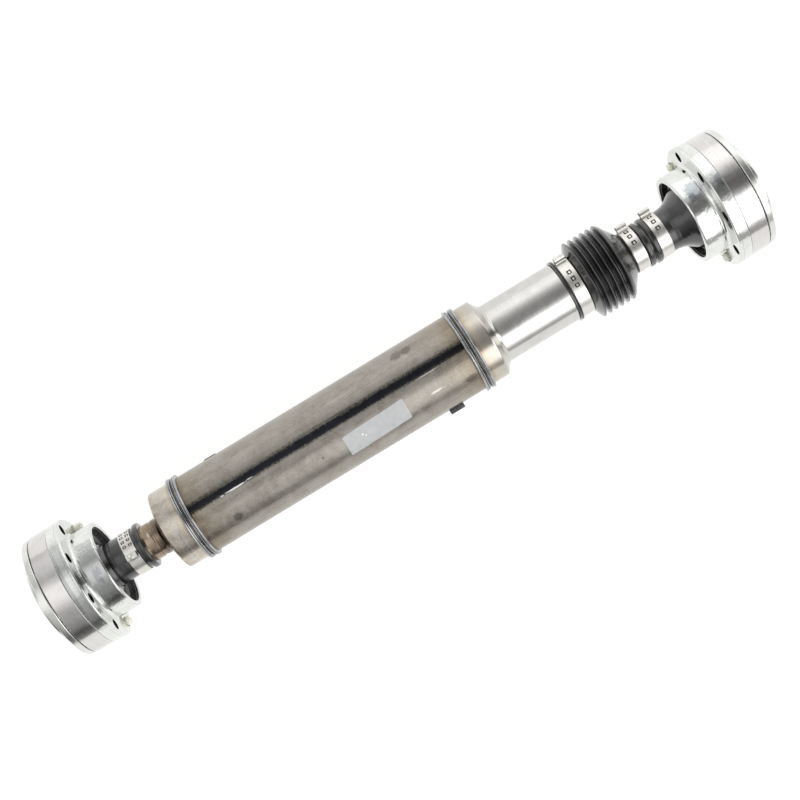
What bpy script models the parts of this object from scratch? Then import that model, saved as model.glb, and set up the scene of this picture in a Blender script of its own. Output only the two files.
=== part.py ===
"""Telescoping propeller shaft with a bolted fixed ball joint at each end.

The shaft lies along X with its mid-length at the origin. Each ball joint is modelled in its own
frame: origin at the joint's centre, +X pointing outboard, away from the tube.
"""
import math

import bmesh
import bpy
from mathutils import Matrix, Vector

MM = 0.001

# Overall sizes
JOINT_SPAN = 566.0 * MM          # joint centre to joint centre
TUBE_RADIUS = 31.75 * MM
TUBE_WALL = 2.0 * MM
HOUSING_RADIUS = 50.0 * MM       # outer race
TOUCH_GAP = 0.3 * MM             # between pieces that seat on each other
ROUND_SEGMENTS = 24
BALL_SEGMENTS = 10
BALL_RINGS = 6
BAND_STEPS = 4                   # along the generator of a spherical face
FILLET_STEPS = 3
BOLT_HOLE_SIDES = 10
TRACK_SIDES = 10
TRACK_STEPS = 6
WELD_DISTANCE = 0.001 * MM

# Ball joint
RACE_WIDTH = 24.2 * MM
BALL_COUNT = 6
BALL_RADIUS = 8.0 * MM
BALL_PITCH_RADIUS = 28.0 * MM
TRACK_CLEARANCE = 0.8 * MM
TRACK_SWEEP = math.radians(80)
CAGE_OUTER_RADIUS = 29.6 * MM
CAGE_WALL = 3.8 * MM
CAGE_WIDTH = 24.0 * MM
CAGE_OUTER_CLEARANCE = 0.6 * MM
CAGE_INNER_CLEARANCE = 0.8 * MM
WINDOW_CLEARANCE = 0.3 * MM
WINDOW_PLAY = 2.6 * MM           # along the window, for the ball's travel when the joint bends
INNER_RACE_WIDTH = 23.0 * MM

# Bolt holes through can, race and cap
BOLT_COUNT = 8
BOLT_HOLE_RADIUS = 4.25 * MM
BOLT_EDGE_DISTANCE = 6.0 * MM    # hole centre to the outer race's rim
PLAIN_BOLT_PHASE = math.radians(16.3)   # first hole, from +Z towards +Y in the joint's frame
SLIP_BOLT_PHASE = math.radians(-18.6)
PIN_RADIUS = 3.9 * MM
PIN_SLOTS = {                    # bolt hole and how far the pin stands out of the can
    "plain": ((5, 6.8 * MM), (2, 3.8 * MM)),
    "slip": ((3, 3.0 * MM), (6, 3.0 * MM)),
}

# Boot can
CAN_SHEET = 1.7 * MM
CAN_BAND_SHEET = 1.2 * MM
CAN_BAND_STAND = 0.5 * MM        # above the outer race
CAN_BAND_LENGTH = 10.1 * MM
CAN_TUBE_RADIUS = 36.25 * MM
CAN_TUBE_LENGTH = 18.9 * MM
CAN_FILLET = 2.5 * MM
CAN_LIP_DEPTH = 2.3 * MM

# End cap
CAP_FLANGE = 5.0 * MM
CAP_EDGE = 0.5 * MM
CAP_CUP_RADIUS = 36.0 * MM
CAP_CUP_HEIGHT = 6.6 * MM
CAP_SHEET = 2.5 * MM
CAP_FILLET = 1.6 * MM
CAP_CORNER = 2.0 * MM

# Shafts
SHAFT_RADIUS = 14.35 * MM
JOINT_SPLINE_STEP = 1.35 * MM    # below the bare shaft
SPLINE_DEPTH = 1.0 * MM
SHAFT_NOSE = 4.0 * MM            # past the inner race
SNAP_GROOVE_DEPTH = 1.3 * MM
SNAP_RING_WIDTH = 1.2 * MM
SNAP_RING_HEIGHT = 2.2 * MM
SNAP_RING_OPENING = 8.0 * MM
STUB_LENGTH = 101.6 * MM         # plain joint centre to the weld
COLLAR_LENGTH = 20.6 * MM
COLLAR_CORNER = 1.5 * MM
COLLAR_CONE = 5.0 * MM
SHOULDER_FILLET = 3.5 * MM
FILLET_KNEE = 0.3                # where the fillet's middle edge lies, as a share of its radius
WELD_BORE_DEPTH = 6.0 * MM

# Slip section
SLIP_LENGTH = 221.3 * MM         # slip joint centre to the weld
SLEEVE_LENGTH = 97.3 * MM
SLEEVE_COLLAR_LENGTH = 16.8 * MM
SLEEVE_CONE = 6.2 * MM
SLEEVE_CONE_KNEE = 0.7           # share of the cone's length before it eases into the sleeve
SLEEVE_RADIUS = 23.8 * MM
SLEEVE_SEAT_LENGTH = 13.5 * MM
SLEEVE_SEAT_DEPTH = 2.3 * MM
SLIP_SPLINE_STEP = 1.85 * MM     # above the bare shaft
SLIP_SPLINE_DEPTH = 1.4 * MM
SLIP_SPLINE_LENGTH = 60.0 * MM
SLIP_SPLINE_END = 12.0 * MM      # from the spline's outer end to the sleeve's mouth
PLUG_THICKNESS = 3.0 * MM
PLUG_EDGE = 1.0 * MM

# Weld flash
FLASH_WIDTH = 3.8 * MM
FLASH_HEIGHT = 3.0 * MM
FLASH_OFFSET = 2.3 * MM          # from the weld to the middle of its curl

# Joint boots and clamps
BOOT_WALL = 2.2 * MM
NECK_WALL = 2.25 * MM
NECK_LIP_LENGTH = 4.6 * MM
NECK_LIP_HEIGHT = 1.1 * MM
CLAMP_WIDTH = 9.6 * MM
CLAMP_SHEET = 0.9 * MM
CLAMP_SIDE_GAP = 1.0 * MM
CLAMP_LIP_GAP = {"plain": 2.3 * MM, "slip": 0.4 * MM}
CLAMP_EAR_ANGLE = {"plain": math.radians(5), "slip": math.radians(80)}
SLEEVE_CLAMP_EAR_ANGLE = math.radians(60)
CLAMP_EAR_LENGTH = 8.0 * MM
CLAMP_EAR_HEIGHT = 4.4 * MM
CLAMP_EAR_WIDTH = 8.64 * MM
CLAMP_EAR_SINK = 0.6             # share of the band's sheet that the ear stands above
BOOT_NECK_REACH = {"plain": 62.0 * MM, "slip": 65.0 * MM}
BOOT_FOLD_DEPTH = 12.0 * MM      # inside the can's mouth
BOOT_BEAD_LENGTH = 5.0 * MM
BOOT_THROAT_SHARE = 0.4          # of the way from the neck's seat to the can's bore

# Slip boot
SLIP_NECK_GAP = 1.2 * MM         # between the two boots' necks
SLIP_LIP_LENGTH = 2.6 * MM
SLIP_LIP_RADIUS = 25.3 * MM
SLIP_SEAT_WALL = 1.3 * MM
BELLOWS_COUNT = 6
BELLOWS_PITCH = 5.1 * MM
BELLOWS_RADIUS = 32.0 * MM
BELLOWS_DEPTH = 3.4 * MM
BELLOWS_CONE = 12.5 * MM
BELLOWS_WALL = 1.4 * MM

# Balance weights and label on the tube
WEIGHT_THICKNESS = 3.7 * MM
WEIGHT_WIDTH = 20.0 * MM
WEIGHTS = (
    ("balance_weight_plain", -149.7 * MM, 11.3 * MM, math.radians(129)),
    ("balance_weight_slip", 31.5 * MM, 12.0 * MM, math.radians(-106)),
)
LABEL_CENTRE = -27.2 * MM
LABEL_LENGTH = 53.0 * MM
LABEL_WIDTH = 18.0 * MM
LABEL_THICKNESS = 0.25 * MM
LABEL_ANGLE = math.radians(-27)
WEIGHT_STEPS = 4
LABEL_STEPS = 6

# Places and radii worked out from the sizes above
PLAIN_CENTRE = -JOINT_SPAN / 2
SLIP_CENTRE = JOINT_SPAN / 2
PLAIN_WELD = PLAIN_CENTRE + STUB_LENGTH
SLIP_WELD = SLIP_CENTRE - SLIP_LENGTH
BOLT_PITCH_RADIUS = HOUSING_RADIUS - BOLT_EDGE_DISTANCE
CAN_BAND_RADIUS = HOUSING_RADIUS + CAN_BAND_STAND
JOINT_SPLINE_RADIUS = SHAFT_RADIUS - JOINT_SPLINE_STEP
SLIP_SPLINE_RADIUS = SHAFT_RADIUS + SLIP_SPLINE_STEP
RACE_FACE = RACE_WIDTH / 2
INNER_RACE_FACE = INNER_RACE_WIDTH / 2
TRACK_RADIUS = BALL_RADIUS + TRACK_CLEARANCE
CAGE_INNER_RADIUS = CAGE_OUTER_RADIUS - CAGE_WALL
CAN_BORE = CAN_TUBE_RADIUS - CAN_SHEET
CAN_FACE = -RACE_FACE - TOUCH_GAP - CAN_SHEET
CAN_MOUTH = CAN_FACE - CAN_TUBE_LENGTH
SHAFT_END = INNER_RACE_FACE + SHAFT_NOSE
TUBE_BORE = TUBE_RADIUS - TUBE_WALL
NECK_SEAT_RADIUS = SHAFT_RADIUS + TOUCH_GAP + NECK_WALL
BOOT_THROAT_RADIUS = NECK_SEAT_RADIUS + BOOT_THROAT_SHARE * (CAN_BORE - NECK_SEAT_RADIUS)
SLEEVE_END = -SLIP_LENGTH + SLEEVE_LENGTH
SLEEVE_SEAT = SLEEVE_END - SLEEVE_SEAT_LENGTH
SLEEVE_SEAT_RADIUS = SLEEVE_RADIUS - SLEEVE_SEAT_DEPTH


def clear_scene():
    for item in list(bpy.data.objects):
        bpy.data.objects.remove(item, do_unlink=True)


def make_material(name, colour, metallic, roughness):
    material = bpy.data.materials.new(name)
    material.use_nodes = True
    shader = material.node_tree.nodes["Principled BSDF"]
    shader.inputs["Base Color"].default_value = (*colour, 1.0)
    shader.inputs["Metallic"].default_value = metallic
    shader.inputs["Roughness"].default_value = roughness
    return material


def make_frame(name, parent=None, place=0.0, turn=0.0):
    """An empty on the shaft's axis. A turn of half a circle points its +X the other way."""
    frame = bpy.data.objects.new(name, None)
    bpy.context.scene.collection.objects.link(frame)
    frame.parent = parent
    frame.location = (place, 0.0, 0.0)
    frame.rotation_euler = (0.0, 0.0, turn)
    return frame


def finish_mesh(name, shape, parent, material=None):
    """Turn a bmesh into a named object. A piece with no material is a cutter."""
    bmesh.ops.remove_doubles(shape, verts=shape.verts, dist=WELD_DISTANCE)
    bmesh.ops.recalc_face_normals(shape, faces=shape.faces)
    mesh = bpy.data.meshes.new(name)
    shape.to_mesh(mesh)
    shape.free()
    mesh.shade_smooth()
    mesh.set_sharp_from_angle(angle=math.radians(30))
    piece = bpy.data.objects.new(name, mesh)
    bpy.context.scene.collection.objects.link(piece)
    piece.parent = parent
    if material:
        mesh.materials.append(material)
    else:
        piece.hide_render = True
        piece.display_type = "WIRE"
    return piece


def turned(name, profile, parent, material):
    """Turn (x, radius) points about X. A profile that starts on the axis is a solid, else a ring."""
    shape = bmesh.new()
    points = [shape.verts.new((x, 0.0, radius)) for x, radius in profile]
    edges = [shape.edges.new(pair) for pair in zip(points, points[1:])]
    if profile[0][1] > 0.0:
        edges.append(shape.edges.new((points[-1], points[0])))
    bmesh.ops.spin(
        shape, geom=points + edges, cent=(0, 0, 0), axis=(1, 0, 0), angle=math.tau,
        steps=ROUND_SEGMENTS,
    )
    return finish_mesh(name, shape, parent, material)


def sweep_outline(shape, outline, axis, start, sweep, steps):
    """Swing a flat outline about an axis through the origin and close both ends."""
    swing = Matrix.Rotation(start, 3, axis)
    points = [shape.verts.new(swing @ Vector(point)) for point in outline]
    edges = [shape.edges.new(pair) for pair in zip(points, points[1:] + points[:1])]
    before = set(shape.edges) - set(edges)
    bmesh.ops.spin(shape, geom=points + edges, cent=(0, 0, 0), axis=axis, angle=sweep, steps=steps)
    added = [edge for edge in shape.edges if edge not in before and edge.is_boundary]
    bmesh.ops.holes_fill(shape, edges=added)


def arc(centre_x, centre_radius, radius, start, end, steps):
    """Points of an arc in the (x, radius) plane, with angles in degrees from +X towards +radius."""
    angles = [math.radians(start + (end - start) * step / steps) for step in range(steps + 1)]
    return [
        (centre_x + radius * math.cos(angle), centre_radius + radius * math.sin(angle))
        for angle in angles
    ]


def sphere_band(radius, half_width, steps):
    """The generator of a sphere about the origin, from +half_width to -half_width along X."""
    edge = math.degrees(math.acos(half_width / radius))
    return arc(0.0, 0.0, radius, edge, 180.0 - edge, steps)


def around(radius, angle):
    """A point at an angle about X, measured from +Z towards +Y."""
    return (0.0, radius * math.sin(angle), radius * math.cos(angle))


def combine(piece, operation, tool):
    step = piece.modifiers.new(tool.name, "BOOLEAN")
    step.operation = operation
    step.object = tool


def cut_teeth(piece, start, end, radius, depth):
    """Turn a round stretch into a spline: every other edge line moves in by depth."""
    for vertex in piece.data.vertices:
        place = vertex.co
        distance = math.hypot(place.y, place.z)
        line = round(math.atan2(place.y, place.z) / math.tau * ROUND_SEGMENTS)
        on_stretch = start - WELD_DISTANCE <= place.x <= end + WELD_DISTANCE
        if line % 2 and on_stretch and abs(distance - radius) < WELD_DISTANCE:
            scale = (radius - depth) / radius
            place.y *= scale
            place.z *= scale


def rods_along_x(name, radius, low, high, places, parent, material=None):
    """Round rods along X, one at each (y, z) place."""
    shape = bmesh.new()
    for y, z in places:
        stand = Matrix.Translation(((low + high) / 2, y, z)) @ Matrix.Rotation(math.pi / 2, 4, "Y")
        bmesh.ops.create_cone(
            shape, cap_ends=True, segments=BOLT_HOLE_SIDES, radius1=radius, radius2=radius,
            depth=high - low, matrix=stand,
        )
    return finish_mesh(name, shape, parent, material)


def bolt_places(phase):
    angles = [phase + math.tau * index / BOLT_COUNT for index in range(BOLT_COUNT)]
    return [around(BOLT_PITCH_RADIUS, angle)[1:] for angle in angles]


def make_tube(materials):
    start = PLAIN_WELD + TOUCH_GAP / 2
    end = SLIP_WELD - TOUCH_GAP / 2
    profile = [(start, TUBE_BORE), (start, TUBE_RADIUS)]
    profile += flash_curl(PLAIN_WELD + FLASH_OFFSET, TUBE_RADIUS, 1)
    profile += flash_curl(SLIP_WELD - FLASH_OFFSET, TUBE_RADIUS, 1)
    profile += [(end, TUBE_RADIUS), (end, TUBE_BORE)]
    turned("tube", profile, None, materials["tube"])


def flash_curl(centre, radius, direction):
    """Half an ellipse that stands on a cylinder of the given radius, read along +X or -X."""
    turns = (180, 120, 60, 0)[::direction]
    return [
        (
            centre + FLASH_WIDTH / 2 * math.cos(math.radians(turn)),
            radius + FLASH_HEIGHT * math.sin(math.radians(turn)),
        )
        for turn in turns
    ]


def shoulder(face, cone, collar_radius, shaft_radius, direction):
    """A collar's corner, the cone below it and the fillet into the shaft, from large to small."""
    foot = face + direction * cone
    reach = SHOULDER_FILLET * direction
    return [
        (face - direction * COLLAR_CORNER, collar_radius),
        (face, collar_radius - COLLAR_CORNER),
        (foot, shaft_radius + SHOULDER_FILLET),
        (foot + reach * FILLET_KNEE, shaft_radius + SHOULDER_FILLET * FILLET_KNEE),
        (foot + reach, shaft_radius),
    ]


def joint_nose():
    """The splined nose of a shaft from its end face back to the full diameter, with a ring groove."""
    ring_start = INNER_RACE_FACE + TOUCH_GAP / 2
    ring_end = ring_start + SNAP_RING_WIDTH + TOUCH_GAP
    groove = JOINT_SPLINE_RADIUS - SNAP_GROOVE_DEPTH
    step = -INNER_RACE_FACE - TOUCH_GAP
    return [
        (SHAFT_END, 0.0),
        (SHAFT_END, JOINT_SPLINE_RADIUS),
        (ring_end, JOINT_SPLINE_RADIUS),
        (ring_end, groove),
        (ring_start, groove),
        (ring_start, JOINT_SPLINE_RADIUS),
        (step, JOINT_SPLINE_RADIUS),
        (step, SHAFT_RADIUS),
    ]


def make_stub(frame, materials):
    """The plain end's welding: hollow collar, shoulder, bare shaft and splined nose."""
    face = -STUB_LENGTH + COLLAR_LENGTH
    weld = -STUB_LENGTH + TOUCH_GAP / 2
    profile = joint_nose()
    profile += shoulder(face, COLLAR_CONE, TUBE_RADIUS, SHAFT_RADIUS, 1)[::-1]
    profile += flash_curl(-STUB_LENGTH + FLASH_OFFSET, TUBE_RADIUS, -1)
    profile += [
        (weld, TUBE_RADIUS),
        (weld, TUBE_BORE),
        (weld + WELD_BORE_DEPTH, TUBE_BORE),
        (weld + WELD_BORE_DEPTH, 0.0),
    ]
    stub = turned("plain_stub_shaft", profile, frame, materials["machined"])
    cut_teeth(stub, -INNER_RACE_FACE - TOUCH_GAP, SHAFT_END, JOINT_SPLINE_RADIUS, SPLINE_DEPTH)


def make_sleeve(frame, materials):
    """The slip end's welding: hollow collar and a sleeve with the inside half of the slip spline."""
    weld = -SLIP_LENGTH + TOUCH_GAP / 2
    face = -SLIP_LENGTH + SLEEVE_COLLAR_LENGTH
    bore = SLIP_SPLINE_RADIUS + TOUCH_GAP
    profile = [(weld, TUBE_BORE), (weld, TUBE_RADIUS)]
    profile += flash_curl(-SLIP_LENGTH + FLASH_OFFSET, TUBE_RADIUS, 1)
    profile += [
        (face - COLLAR_CORNER, TUBE_RADIUS),
        (face, TUBE_RADIUS - COLLAR_CORNER),
        (face + SLEEVE_CONE * SLEEVE_CONE_KNEE, SLEEVE_RADIUS + COLLAR_CORNER),
        (face + SLEEVE_CONE, SLEEVE_RADIUS),
        (SLEEVE_SEAT, SLEEVE_RADIUS),
        (SLEEVE_SEAT, SLEEVE_SEAT_RADIUS),
        (SLEEVE_END, SLEEVE_SEAT_RADIUS),
        (SLEEVE_END, bore),
        (weld + WELD_BORE_DEPTH, bore),
        (weld + WELD_BORE_DEPTH, TUBE_BORE),
    ]
    sleeve = turned("slip_sleeve", profile, frame, materials["polished"])
    cut_teeth(sleeve, weld + WELD_BORE_DEPTH, SLEEVE_END, bore, SLIP_SPLINE_DEPTH)
    plug_radius = TUBE_BORE - TOUCH_GAP
    plug = weld + WELD_BORE_DEPTH - TOUCH_GAP - PLUG_THICKNESS
    plug_profile = [
        (plug, 0.0),
        (plug, plug_radius - PLUG_EDGE),
        (plug + PLUG_EDGE, plug_radius),
        (plug + PLUG_THICKNESS, plug_radius),
        (plug + PLUG_THICKNESS, 0.0),
    ]
    turned("sleeve_grease_plug", plug_profile, frame, materials["zinc"])


def make_slip_shaft(frame, materials):
    """The sliding half: splined nose for the joint, bare shaft and the outside slip spline."""
    spline_end = SLEEVE_END - SLIP_SPLINE_END
    spline_start = spline_end - SLIP_SPLINE_LENGTH
    profile = joint_nose()
    profile += [
        (spline_end, SHAFT_RADIUS),
        (spline_end, SLIP_SPLINE_RADIUS),
        (spline_start, SLIP_SPLINE_RADIUS),
        (spline_start, 0.0),
    ]
    shaft = turned("slip_shaft", profile, frame, materials["machined"])
    cut_teeth(shaft, -INNER_RACE_FACE - TOUCH_GAP, SHAFT_END, JOINT_SPLINE_RADIUS, SPLINE_DEPTH)
    cut_teeth(shaft, spline_start, spline_end, SLIP_SPLINE_RADIUS, SLIP_SPLINE_DEPTH)


def make_inner_race(end, frame, tracks, materials):
    bore = JOINT_SPLINE_RADIUS + TOUCH_GAP
    radius = CAGE_INNER_RADIUS - CAGE_INNER_CLEARANCE
    profile = sphere_band(radius, INNER_RACE_FACE, BAND_STEPS)
    profile += [(-INNER_RACE_FACE, bore), (INNER_RACE_FACE, bore)]
    race = turned(f"{end}_inner_race", profile, frame, materials["race"])
    cut_teeth(race, -INNER_RACE_FACE, INNER_RACE_FACE, bore, SPLINE_DEPTH)
    combine(race, "DIFFERENCE", tracks)
    return race


def make_snap_ring(end, frame, materials):
    start = INNER_RACE_FACE + TOUCH_GAP
    inner = JOINT_SPLINE_RADIUS - SNAP_GROOVE_DEPTH + TOUCH_GAP
    profile = [
        (start, inner),
        (start, inner + SNAP_RING_HEIGHT),
        (start + SNAP_RING_WIDTH, inner + SNAP_RING_HEIGHT),
        (start + SNAP_RING_WIDTH, inner),
    ]
    ring = turned(f"{end}_snap_ring", profile, frame, materials["spring"])
    shape = bmesh.new()
    bmesh.ops.create_cube(
        shape, size=SNAP_RING_OPENING, matrix=Matrix.Translation((start, 0.0, inner))
    )
    combine(ring, "DIFFERENCE", finish_mesh(f"{end}_snap_ring_opening", shape, frame))


def make_track_cutter(end, frame):
    """Six grooves that follow circles about the joint's centre, one for each ball."""
    shape = bmesh.new()
    for index in range(BALL_COUNT):
        groove = bmesh.new()
        circle = [
            (0.0, y, BALL_PITCH_RADIUS + radius)
            for radius, y in arc(0.0, 0.0, TRACK_RADIUS, 0.0, 360.0, TRACK_SIDES)[:-1]
        ]
        sweep_outline(groove, circle, (0, 1, 0), -TRACK_SWEEP / 2, TRACK_SWEEP, TRACK_STEPS)
        turn = Matrix.Rotation(math.tau * index / BALL_COUNT, 4, "X")
        bmesh.ops.transform(groove, matrix=turn, verts=groove.verts)
        mesh = bpy.data.meshes.new("groove")
        groove.to_mesh(mesh)
        groove.free()
        shape.from_mesh(mesh)
        bpy.data.meshes.remove(mesh)
    return finish_mesh(f"{end}_track_cutter", shape, frame)


def make_cage(end, frame, materials):
    half = CAGE_WIDTH / 2
    profile = sphere_band(CAGE_OUTER_RADIUS, half, BAND_STEPS)
    profile += sphere_band(CAGE_INNER_RADIUS, half, BAND_STEPS)[::-1]
    cage = turned(f"{end}_cage", profile, frame, materials["cage"])
    shape = bmesh.new()
    width = 2 * (BALL_RADIUS + WINDOW_CLEARANCE)
    length = 2 * BALL_RADIUS + WINDOW_PLAY
    height = 4 * CAGE_WALL
    middle = CAGE_OUTER_RADIUS - CAGE_WALL / 2
    for index in range(BALL_COUNT):
        turn = Matrix.Rotation(math.tau * index / BALL_COUNT, 4, "X")
        place = turn @ Matrix.Translation((0.0, 0.0, middle)) @ Matrix.Diagonal(
            (width, length, height, 1.0)
        )
        bmesh.ops.create_cube(shape, size=1.0, matrix=place)
    combine(cage, "DIFFERENCE", finish_mesh(f"{end}_window_cutter", shape, frame))


def make_balls(end, frame, materials):
    shape = bmesh.new()
    bmesh.ops.create_uvsphere(
        shape, u_segments=BALL_SEGMENTS, v_segments=BALL_RINGS, radius=BALL_RADIUS
    )
    first = finish_mesh(f"{end}_ball_1", shape, frame, materials["ball"])
    for index in range(BALL_COUNT):
        ball = first
        if index:
            ball = bpy.data.objects.new(f"{end}_ball_{index + 1}", first.data)
            bpy.context.scene.collection.objects.link(ball)
            ball.parent = frame
        ball.location = Matrix.Rotation(math.tau * index / BALL_COUNT, 3, "X") @ Vector(
            (0.0, 0.0, BALL_PITCH_RADIUS)
        )


def make_outer_race(end, frame, tracks, drill, materials):
    bore = CAGE_OUTER_RADIUS + CAGE_OUTER_CLEARANCE
    seat = CAN_BAND_RADIUS - CAN_BAND_SHEET - TOUCH_GAP
    band_end = CAN_FACE + CAN_BAND_LENGTH + TOUCH_GAP
    edge = CAP_EDGE
    profile = sphere_band(bore, RACE_FACE, BAND_STEPS)
    profile += [
        (-RACE_FACE, seat),
        (band_end, seat),
        (band_end, HOUSING_RADIUS),
        (RACE_FACE - edge, HOUSING_RADIUS),
        (RACE_FACE, HOUSING_RADIUS - edge),
    ]
    race = turned(f"{end}_outer_race", profile, frame, materials["race"])
    combine(race, "DIFFERENCE", tracks)
    combine(race, "DIFFERENCE", drill)


def make_boot_can(end, frame, drill, materials):
    """Pressed steel can: a tube with a rolled lip, a flange and a band rolled over the race."""
    inner_face = CAN_FACE + CAN_SHEET
    band_inner = CAN_BAND_RADIUS - CAN_BAND_SHEET
    corner = CAN_SHEET
    lip_bore = CAN_BORE - CAN_LIP_DEPTH
    profile = [
        (CAN_MOUTH, lip_bore + corner / 2),
        (CAN_MOUTH, CAN_TUBE_RADIUS - corner / 2),
        (CAN_MOUTH + corner / 2, CAN_TUBE_RADIUS),
    ]
    profile += arc(
        CAN_FACE - CAN_FILLET, CAN_TUBE_RADIUS + CAN_FILLET, CAN_FILLET, -90.0, 0.0, FILLET_STEPS
    )
    profile += [
        (CAN_FACE, CAN_BAND_RADIUS - corner),
        (CAN_FACE + corner, CAN_BAND_RADIUS),
        (CAN_FACE + CAN_BAND_LENGTH, CAN_BAND_RADIUS),
        (CAN_FACE + CAN_BAND_LENGTH, band_inner),
        (inner_face, band_inner),
        (inner_face, CAN_BORE + corner),
        (inner_face - corner, CAN_BORE),
        (CAN_MOUTH + CAN_SHEET, CAN_BORE),
        (CAN_MOUTH + CAN_SHEET, lip_bore),
        (CAN_MOUTH + corner / 2, lip_bore),
    ]
    can = turned(f"{end}_boot_can", profile, frame, materials["zinc"])
    combine(can, "DIFFERENCE", drill)


def make_end_cap(end, frame, drill, materials):
    """Dished cover. Its flat flange is the face that bolts to the driving flange."""
    back = RACE_FACE + TOUCH_GAP
    face = back + CAP_FLANGE
    top = face + CAP_CUP_HEIGHT
    rim = HOUSING_RADIUS - CAP_EDGE
    profile = [
        (top, 0.0),
        (top, CAP_CUP_RADIUS - CAP_CORNER),
        (top - CAP_CORNER, CAP_CUP_RADIUS),
        (face + CAP_FILLET, CAP_CUP_RADIUS),
        (face, CAP_CUP_RADIUS + CAP_FILLET),
        (face, rim - CAP_EDGE),
        (face - CAP_EDGE, rim),
        (back + CAP_EDGE, rim),
        (back, rim - CAP_EDGE),
        (back, CAP_CUP_RADIUS),
        (back + CAP_SHEET, CAP_CUP_RADIUS - CAP_SHEET),
        (top - CAP_SHEET, CAP_CUP_RADIUS - CAP_SHEET),
        (top - CAP_SHEET, 0.0),
    ]
    cap = turned(f"{end}_end_cap", profile, frame, materials["cap"])
    combine(cap, "DIFFERENCE", drill)


def make_retaining_pins(end, frame, phase, materials):
    """Plastic pins in two of the bolt holes, which hold can, race and cap together until fitting."""
    places = bolt_places(phase)
    for number, (hole, stand_out) in enumerate(PIN_SLOTS[end], 1):
        rods_along_x(
            f"{end}_retaining_pin_{number}", PIN_RADIUS, CAN_FACE - stand_out, RACE_FACE,
            [places[hole]], frame, materials["pin"],
        )


def make_joint_boot(end, frame, materials):
    """Neck on the shaft, throat into the can, one fold, and a bead behind the can's rolled lip."""
    neck_end = -BOOT_NECK_REACH[end]
    bore = SHAFT_RADIUS + TOUCH_GAP
    seat_start = neck_end + NECK_LIP_LENGTH
    clamp_start = seat_start + CLAMP_LIP_GAP[end]
    seat_end = clamp_start + CLAMP_WIDTH + CLAMP_SIDE_GAP
    lip = NECK_SEAT_RADIUS + NECK_LIP_HEIGHT
    bead_outer = CAN_BORE - TOUCH_GAP
    bead_end = CAN_MOUTH + CAN_SHEET + TOUCH_GAP
    fold = CAN_MOUTH + BOOT_FOLD_DEPTH
    throat = CAN_MOUTH + BOOT_WALL
    fold_inner = (BOOT_THROAT_RADIUS + bead_outer) / 2
    profile = [
        (neck_end, bore),
        (neck_end, lip),
        (seat_start, lip),
        (seat_start, NECK_SEAT_RADIUS),
        (seat_end, NECK_SEAT_RADIUS),
        (seat_end + BOOT_WALL / 2, NECK_SEAT_RADIUS + BOOT_WALL / 2),
        (throat - BOOT_WALL, BOOT_THROAT_RADIUS - BOOT_WALL),
        (throat + BOOT_WALL, BOOT_THROAT_RADIUS),
        (fold - BOOT_WALL, fold_inner),
        (throat + BOOT_BEAD_LENGTH, bead_outer - BOOT_WALL),
        (bead_end, bead_outer - BOOT_WALL),
        (bead_end, bead_outer),
        (bead_end + BOOT_BEAD_LENGTH, bead_outer),
        (fold, fold_inner + BOOT_WALL / 2),
        (fold, fold_inner - BOOT_WALL / 2),
        (throat + BOOT_WALL, BOOT_THROAT_RADIUS - BOOT_WALL),
        (throat - BOOT_WALL, BOOT_THROAT_RADIUS - 2 * BOOT_WALL),
        (seat_end, bore),
    ]
    turned(f"{end}_joint_boot", profile, frame, materials["rubber"])
    make_clamp(
        f"{end}_joint_boot_clamp", frame, clamp_start, NECK_SEAT_RADIUS, CLAMP_EAR_ANGLE[end],
        materials,
    )


def make_clamp(name, frame, start, seat_radius, ear_angle, materials):
    """A flat band with one pinched ear."""
    inner = seat_radius + TOUCH_GAP
    outer = inner + CLAMP_SHEET
    end = start + CLAMP_WIDTH
    profile = [(start, inner), (start, outer), (end, outer), (end, inner)]
    band = turned(name, profile, frame, materials["clamp"])
    shape = bmesh.new()
    height = CLAMP_EAR_HEIGHT + CLAMP_SHEET
    place = Matrix.Rotation(-ear_angle, 4, "X") @ Matrix.Translation(
        ((start + end) / 2, 0.0, inner + CLAMP_SHEET * CLAMP_EAR_SINK + height / 2)
    ) @ Matrix.Diagonal((CLAMP_EAR_WIDTH, CLAMP_EAR_LENGTH, height, 1.0))
    bmesh.ops.create_cube(shape, size=1.0, matrix=place)
    combine(band, "UNION", finish_mesh(f"{name}_ear", shape, frame))


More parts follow.
